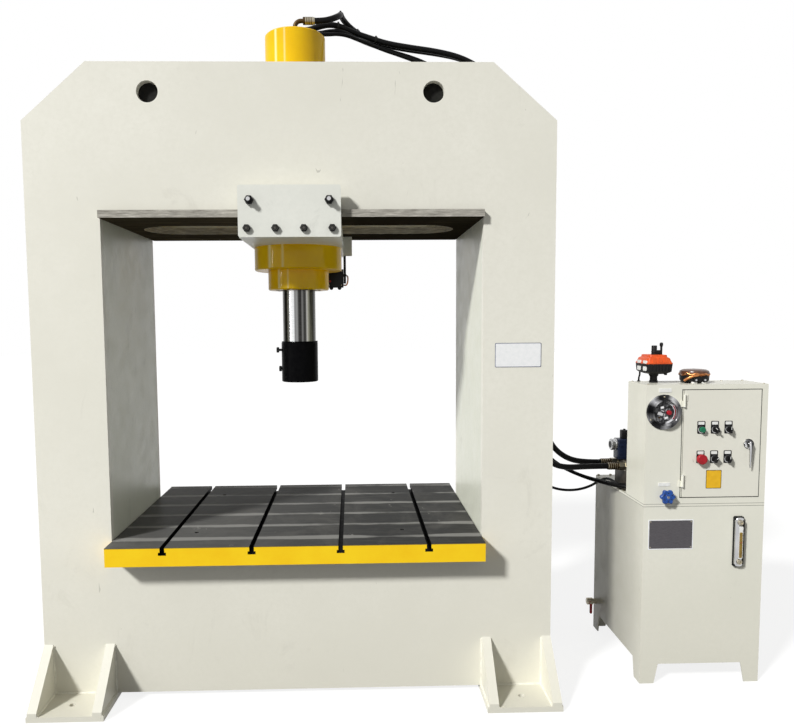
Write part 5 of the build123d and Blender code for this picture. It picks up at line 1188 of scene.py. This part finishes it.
def coil_on_box():
    """Round unit: feet, black case, brown cap, and copper tube twisted round it with a loose end."""
    x, y = 1604, -245
    bench = Bench()
    for a in (x - 22, x + 18):
        for low, high in ((y - 52, y - 38), (y + 38, y + 52)):
            bench.block((a - 10, low, BOX_TOP), (a + 10, high, 1227), white_plastic, 2)
    bench.turned([(38, 2), (50, 6), (55, 12), (56, 30), (54, 32)], (x, y, BOX_TOP), UP, black_plastic, 56)
    for a in (x - 20, x + 16):
        bench.block((a - 8, y - 57.5, 1227), (a + 8, y - 46, 1243), black_plastic, 2.4, 3)
        bench.disc(4, 2, (a, y - 57, 1235), FRONT, aluminium, 16)
    bench.turned([(53, 30), (56.5, 33), (57.5, 40), (54, 49), (44, 54), (22, 56), (0, 56)], (x, y, BOX_TOP), UP,
                 brown_cap, 64)
    for middle, reach, phase in ((1255, 53.6, 0), (1260, 50.6, 180)):
        twisted = []
        for k in range(49):
            twist = math.radians(67.5 * k + phase)
            twisted.append(at(*polar((x, y), reach + 2.2 * math.cos(twist), 7.5 * k),
                              middle + 3 * math.sin(twist)))
        bench.tube(twisted, 4.4, 10, copper)
    tail = drawn_line([(1618, -299.5, 1256), (1600, -300.5, 1256), (1578, -297, 1251), (1563, -290, 1245),
                       (1553, -284, 1238), (1546, -280, 1231)])
    bench.tube(tail, 5.4, 14, copper)
    wrap = drawn_line([(1640, -286, 1254), (1622, -298, 1261), (1604, -300, 1252), (1586, -297.5, 1262),
                       (1570, -289, 1252), (1560, -278, 1261)])
    bench.tube(wrap, 4.4, 12, copper)
    bench.made("coil_unit_round", "frame", "copper_brown", "coil_unit")


# Tank and valves

def level_gauge_body():
    """Bright channel with black ends, bolts, amber window and a red mark."""
    left, right, low, high = 1738, 1776, 486, 690
    face = -328.2
    bench = Bench()
    bench.plate(left, low, right, high, 5, black_plastic, 12, face, edge=1)
    bench.plate(left + 0.6, low + 12, left + 15, high - 12, 2, aluminium, 19.6, face, edge=1)
    bench.plate(right - 9, low + 12, right - 0.6, high - 12, 2, seal_black, 18.6, face, edge=1)
    for foot in (low + 3, high - 34):
        bench.plate(left + 4, foot, right - 4, foot + 31, 9, aluminium, 18.4, face, edge=1.4)
    bench.plate(1752, 520, 1770, 652, 4, white_plastic, 19.2, face, edge=0.6)
    bench.plate(1755.5, 524, 1767.5, 628, 3, amber, 20, face, edge=0.8)
    bench.sheet([(1755, 585.4), (1768, 585.4), (1768, 587), (1755, 587)], red, 20.4, face)
    bench.grow(thin_bar, [((1768.6, -347.6, z), RIGHT) for z in range(534, 644, 10)], seal_black, width=0.0008,
               length=0.003, height=0.0006)
    for z in (508, 668):
        bench.turned([(10.8, 0), (10.8, 5.6), (9.8, 7), (5.4, 7), (5, 4), (0, 4)], (1757, -346.5, z), FRONT,
                     zinc, 32)
    bench.made("level_gauge_bright", "frame", "chrome", "level_gauge")


def lobed_wheel():
    """Blue six-lobed wheel with a bright nut on a stem."""
    bench = Bench()
    outline = [(turn, 27.2 + 3.2 * math.cos(math.radians(6 * turn))) for turn in range(0, 360, 3)]
    bench.lofted([[facing_at(polar(WHEEL, reach - inset, turn), y) for turn, reach in outline] for inset, y in (
        (3.2, -344.2), (0.6, -345.6), (0, -348), (0, -354), (0.8, -357.4), (3.8, -359.4), (13, -358.2))], blue)
    bench.turned([(12.4, 0), (12.4, 1.4), (11, 2.4), (0, 2.4)], facing_at(WHEEL, -358), FRONT, blue, 36)
    bench.turned([(6.5, 0), (6.5, 3.2), (5.4, 3.9), (0, 3.9)], facing_at(WHEEL, -357), FRONT, chrome, 6, 0.3)
    bench.turned([(9, 0), (9, 12)], facing_at(WHEEL, -332.6), FRONT, blue, 28)
    bench.turned([(5.9, 0), (5.9, 42)], facing_at(WHEEL, -303.2), FRONT, zinc, 24)
    for turn in range(30, 390, 60):
        bench.disc(3.6, 0.6, facing_at(polar(WHEEL, 18, turn), -358.5), FRONT, navy, 16)
    bench.made("lobed_wheel", "handwheel_body", "blue_plastic", "handwheel")


def drain_details():
    """Hexagon ends of the ball tap, and the nut on its lever."""
    bench = Bench()
    for profile, x, sides in (([(13.4, 0), (13.4, 8)], 1374, 6), ([(15.4, 0), (15.4, 7)], 1359.4, 6),
                              ([(15.2, 0), (15.2, 6), (13, 8), (10, 8)], 1338, 8)):
        bench.turned(profile, (x, 190, 135), LEFT, zinc, sides)
    bench.made("drain_hexagons", "frame", "zinc")
    bench = Bench()
    bench.turned([(6.4, 0), (6.4, 3.4), (5.6, 4)], (1345, 169.4, 135), FRONT, zinc, 6)
    bench.made("drain_nut", "drain_lever_body", "zinc")


def lid_screws():
    """Screws round the tank lid, and the clean-out cover's rim and nut."""
    places = [(x, y) for y in (-100, -20, 60, 140, 208) for x in (1383, 1853)]
    places += [(x, 208) for x in (1440, 1520, 1600, 1760)]
    bench = Bench()
    bench.grow(hex_bolt, [((*place, LID_TOP), UP) for place in places], zinc, corner=0.0058, head=0.0045,
               crown=0.001, washer=0.0072, washer_height=0.0012, shank=0.003, shank_length=0.006)
    bench.turned([(52, 0), (54.6, 0.8), (54.6, 2.4), (52.6, 3.2)], (1582, 160, 750.6), UP, station_cream, 56)
    bench.turned([(13, 0), (13, 2)], (1582, 160, 754), UP, zinc, 32)
    bench.made("lid_bolts", "frame", "zinc")


def valve_details():
    """Coil nut, screws, plug with its gland, and the pipe nuts of the manifold."""
    bench = Bench()
    y, z = 9.5, 925
    bench.turned([(25.8, -1), (25.8, 5), (24.6, 6.6), (24.6, 15.5), (25.8, 17), (25.8, 21), (24, 23), (16, 24.4),
                  (0, 24.4)], (1385.2, y, z), LEFT, aluminium, 40)
    bench.disc(15, 1.2, (1361, y, z), LEFT, black_steel, 32)
    bench.block((1386, -20, 861), (1436.5, 39, 951), navy, 5, 3)
    for lift in range(872, 937, 16):
        bench.block((1387.5, -21.2, lift), (1435, -18.8, lift + 4), navy, 0.8)
    bench.block((1438, -21, 862), (1506, 40, 904), cast_iron, 3)
    bench.block((1408, -6, 951), (1438, 25, 989), black_plastic, 3)
    bench.turned([(8, 0), (8, 10), (6, 13), (4.2, 14)], (1423, y, 972), BACK, black_plastic, 20)
    screws = [((a, b, 903), UP) for a in (1448, 1496) for b in (-13, 32)] + [((1423, y, 988.4), UP)]
    bench.grow(socket_screw, screws, black_steel, radius=0.005, head=0.005, socket=0.0024)
    bench.made("coil_and_valve", "frame", "navy_coil", "solenoid_valve")
    bench = Bench()
    bench.block((1410, -58, 742.2), (1510, 77, 860), cast_iron, 2)
    for y in HOSES_Y:
        bench.turned([(22.5, 0), (22.5, 3), (20, 4)], (1410.4, y, HOSES_Z), LEFT, zinc, 32)
    for x, z in ((1432, 780), (1488, 780), (1460, 838)):
        bench.turned([(10.8, -0.6), (10.8, 4.4), (9.8, 5), (5.6, 5), (5.2, 2.4), (0, 2.4)], (x, -58, z), FRONT,
                     zinc, 28)
    screws = [((a, b, 860), UP) for a in (1418, 1502) for b in (-48, 67)]
    bench.grow(socket_screw, screws, black_steel, radius=0.006, head=0.006, socket=0.003)
    bench.made("manifold_block", "frame", "cast_iron", "valve_manifold")


def crimped(count, foot, crest, groove, tip, length):
    """Profile of a hose's sleeve, pressed on at count places."""
    profile = [(foot, 0)]
    for low in range(0, 9 * count, 9):
        profile += [(crest, low + 2), (crest, low + 7), (groove, low + 8), (groove, low + 10)]
    return profile + [(tip, length)]


def hose_ends():
    """Crimped sleeves, union nuts and glands at both ends of the hoses, and the box that they lead to."""
    bench = Bench()
    for y in HOSES_Y:
        for profile, x, sides in (([(17.6, 0), (18.8, 1.4), (18.8, 15), (17.6, 16.4)], 1408, 6),
                                  ([(15, 0), (15, 10), (17.8, 11), (17.8, 20), (15, 21)], 1394, 6),
                                  (crimped(5, 14.4, 16.2, 15.1, 14.2, 48), 1380.6, 32)):
            bench.turned(profile, (x, y, HOSES_Z), LEFT, brass, sides)
    for y in (-134, -112, -90):
        bench.turned([(12, 0), (12, 6), (10.6, 7)], (1530, y, 768), LEFT, black_plastic, 6)
        bench.turned([(10.6, 7), (11, 9), (11, 16), (8.8, 21)], (1530, y, 768), LEFT, black_plastic, 28)
    bench.block((1531, -147, 743), (1619, -69, 799), zinc, 3)
    bench.block((1529, -149, 796), (1621, -67, 803), zinc, 2.4)
    bench.grow(rivet, [((a, b, 803), UP) for a in (1538, 1612) for b in (-140, -76)], zinc, radius=0.004,
               height=0.002)
    bench.turned([(12.6, 0), (12.6, 7), (10.8, 8), (10.8, 17), (8, 22)], (1000, 150, 742), RIGHT,
                 black_plastic, 28)
    bench.made("station_hose_ends", "frame", "zinc")
    bench = Bench()
    for place in ((34, 0, 2730), (-37, 123.8, 2741)):
        bench.turned(crimped(4, 13.6, 16.1, 14.9, 14, 41), place, RIGHT, zinc, 32)
    bench.made("cylinder_hose_ends", "carriage", "zinc")


def hose_ties():
    """Bands that bundle the hoses over the beam and on the shoulder."""
    for label, share in (("first", 0.135), ("second", 0.24)):
        bench = Bench()
        for name in ("hose_cap", "hose_rod"):
            line = hose_lines[name]
            index = int(share * (len(line) - 1))
            x, y, z = line[index] / MM
            bench.turned([(13.2, -4), (14.4, -3.4), (14.4, 3.4), (13.2, 4)], (x, y, z),
                         (line[index + 1] - line[index - 1]).normalized(), seal_black, 28)
            bench.block((x - 4, y - 5, z + 12), (x + 4, y + 3, z + 18), seal_black)
        bend_with_carriage(bench.made(f"hose_tie_{label}", None, "rubber"))


def motor_details():
    """Fan grille, cover disc, flange bolts, terminal box lid and gland."""
    x, y, box_z = 1730, 60, 875
    bench = Bench()
    bars = []
    for ring, count in ((26, 16), (42, 26), (58, 36)):
        for k in range(count):
            turn = 360 * k / count
            bars.append(((*polar((x, y), ring, turn), 1042.2), (*polar((0, 0), 1, turn), 0)))
    bench.grow(thin_bar, bars, seal_black, width=0.0042, length=0.011, height=0.0008)
    bench.turned([(13, 0), (13, 1.4), (11, 2), (0, 2)], (x, y, 1041.6), UP, motor_grey, 32)
    bench.grow(hex_bolt, [((*polar((x, y), 88, turn), 760), UP) for turn in (45, 135, 225, 315)], zinc,
               corner=0.0085, head=0.007, washer=0.010, washer_height=0.0018, shank=0.004, shank_length=0.01)
    bench.plate(-43, -43, 43, 43, 5, motor_grey, 3, edge=0.8, across=LEFT, base=(x, 189.6, box_z))
    bench.grow(rivet, [((x + a, 192.4, box_z + b), BACK) for a in (-36, 36) for b in (-36, 36)], zinc,
               radius=0.0036, height=0.002)
    bench.turned([(11, 0), (11, 8), (9, 9), (9, 18), (6.6, 22)], (1775, 145, 860), RIGHT, black_plastic, 24)
    bench.made("motor_details", "frame", "grey_paint")


for make in (frame_welds, table_seat_welds, blank_plates, lifting_hole_shade, table_plugs, carriage_bolts,
             roller_covers, switch_on_bracket, holder_details, cylinder_screws, pressure_gauge_details,
             door_gap_shadow, legend_plates, lock_lever, hinge_details, box_top_bolts, pump_switch_unit, coil_on_box,
             level_gauge_body, lobed_wheel, drain_details, lid_screws, valve_details, hose_ends, hose_ties,
             motor_details):
    make()


# Camera, floor and light

def fitted_camera():
    """The photograph's camera: its place, its angles, and its middle and focal length in pixels."""
    width, height, focal, middle_x, middle_y = 794, 728, 700, 369.973, 377.854
    camera = bpy.data.objects.new("camera", bpy.data.cameras.new("camera"))
    scene.collection.objects.link(camera)
    scene.camera = camera
    yaw, pitch, roll = (math.radians(angle) for angle in (1.466, 4.549, -0.412))
    ahead = Vector((math.sin(yaw) * math.cos(pitch), math.cos(yaw) * math.cos(pitch), -math.sin(pitch)))
    right = Vector((math.cos(yaw), -math.sin(yaw), 0))
    up = right.cross(ahead)
    right, up = right * math.cos(roll) + up * math.sin(roll), up * math.cos(roll) - right * math.sin(roll)
    turn = Matrix((right, up, -ahead)).transposed().to_4x4()
    camera.matrix_world = Matrix.Translation((0.2174, -3.03927, 1.47385)) @ turn
    lens = camera.data
    lens.sensor_fit = "HORIZONTAL"
    lens.sensor_width = 36
    lens.lens = 36 * focal / width
    lens.shift_x = (width / 2 - middle_x) / width
    lens.shift_y = (middle_y - height / 2) / width
    lens.clip_start = 0.05
    lens.clip_end = 100


def plain_floor():
    """A white floor that keeps a light shadow of the object."""
    mesh = bpy.data.meshes.new("floor")
    mesh.from_pydata([(-30, -30, 0), (30, -30, 0), (30, 30, 0), (-30, 30, 0)], [], [(0, 1, 2, 3)])
    material = bpy.data.materials.new("floor_white")
    material.use_nodes = True
    t = Tree(material.node_tree)
    t.tree.nodes.clear()
    both = t.tree.nodes.new("ShaderNodeAddShader")
    t.feed(both.inputs[0], t.add("ShaderNodeEmission", Strength=t.math("MULTIPLY", t.seen(), 0.84)))
    t.feed(both.inputs[1], t.add("ShaderNodeBsdfDiffuse", Color=(0.22, 0.22, 0.215, 1)))
    t.add("ShaderNodeOutputMaterial", Surface=both.outputs[0])
    mesh.materials.append(material)
    floor = bpy.data.objects.new("floor", mesh)
    scene.collection.objects.link(floor)


def pale_world():
    """White where the camera, metal and glass see it; a plain even light for everything else."""
    world = bpy.data.worlds.new("pale_world")
    world.use_nodes = True
    t = Tree(world.node_tree)
    sky = world.node_tree.nodes["Background"].inputs
    t.feed(sky["Color"], (1, 1, 1, 1))
    t.feed(sky["Strength"], t.add("ShaderNodeMapRange", Value=t.seen(), To_Min=0.26, To_Max=1.0))
    scene.world = world


def lamp(name, kind, energy, direction, place=(0, 0, 0), **settings):
    light = bpy.data.lights.new(name, kind)
    light.energy = energy
    for key, value in settings.items():
        setattr(light, key, value)
    holder = bpy.data.objects.new(name, light)
    scene.collection.objects.link(holder)
    holder.rotation_mode = "QUATERNION"
    holder.rotation_quaternion = Vector(direction).to_track_quat("-Z", "Y")
    holder.location = place
    return holder


fitted_camera()
plain_floor()
pale_world()
lamp("key_light", "SUN", 3.7, (0.59, 0.55, -0.57), angle=math.radians(7))
strip_light = lamp("strip_light", "AREA", 9.0, (2.7, 1.3, -0.05), (-2.7, -1.3, 1.75), shape="RECTANGLE",
                   size=0.05, size_y=2.2)
strip_light.visible_camera = False
scene.view_settings.view_transform = "Standard"
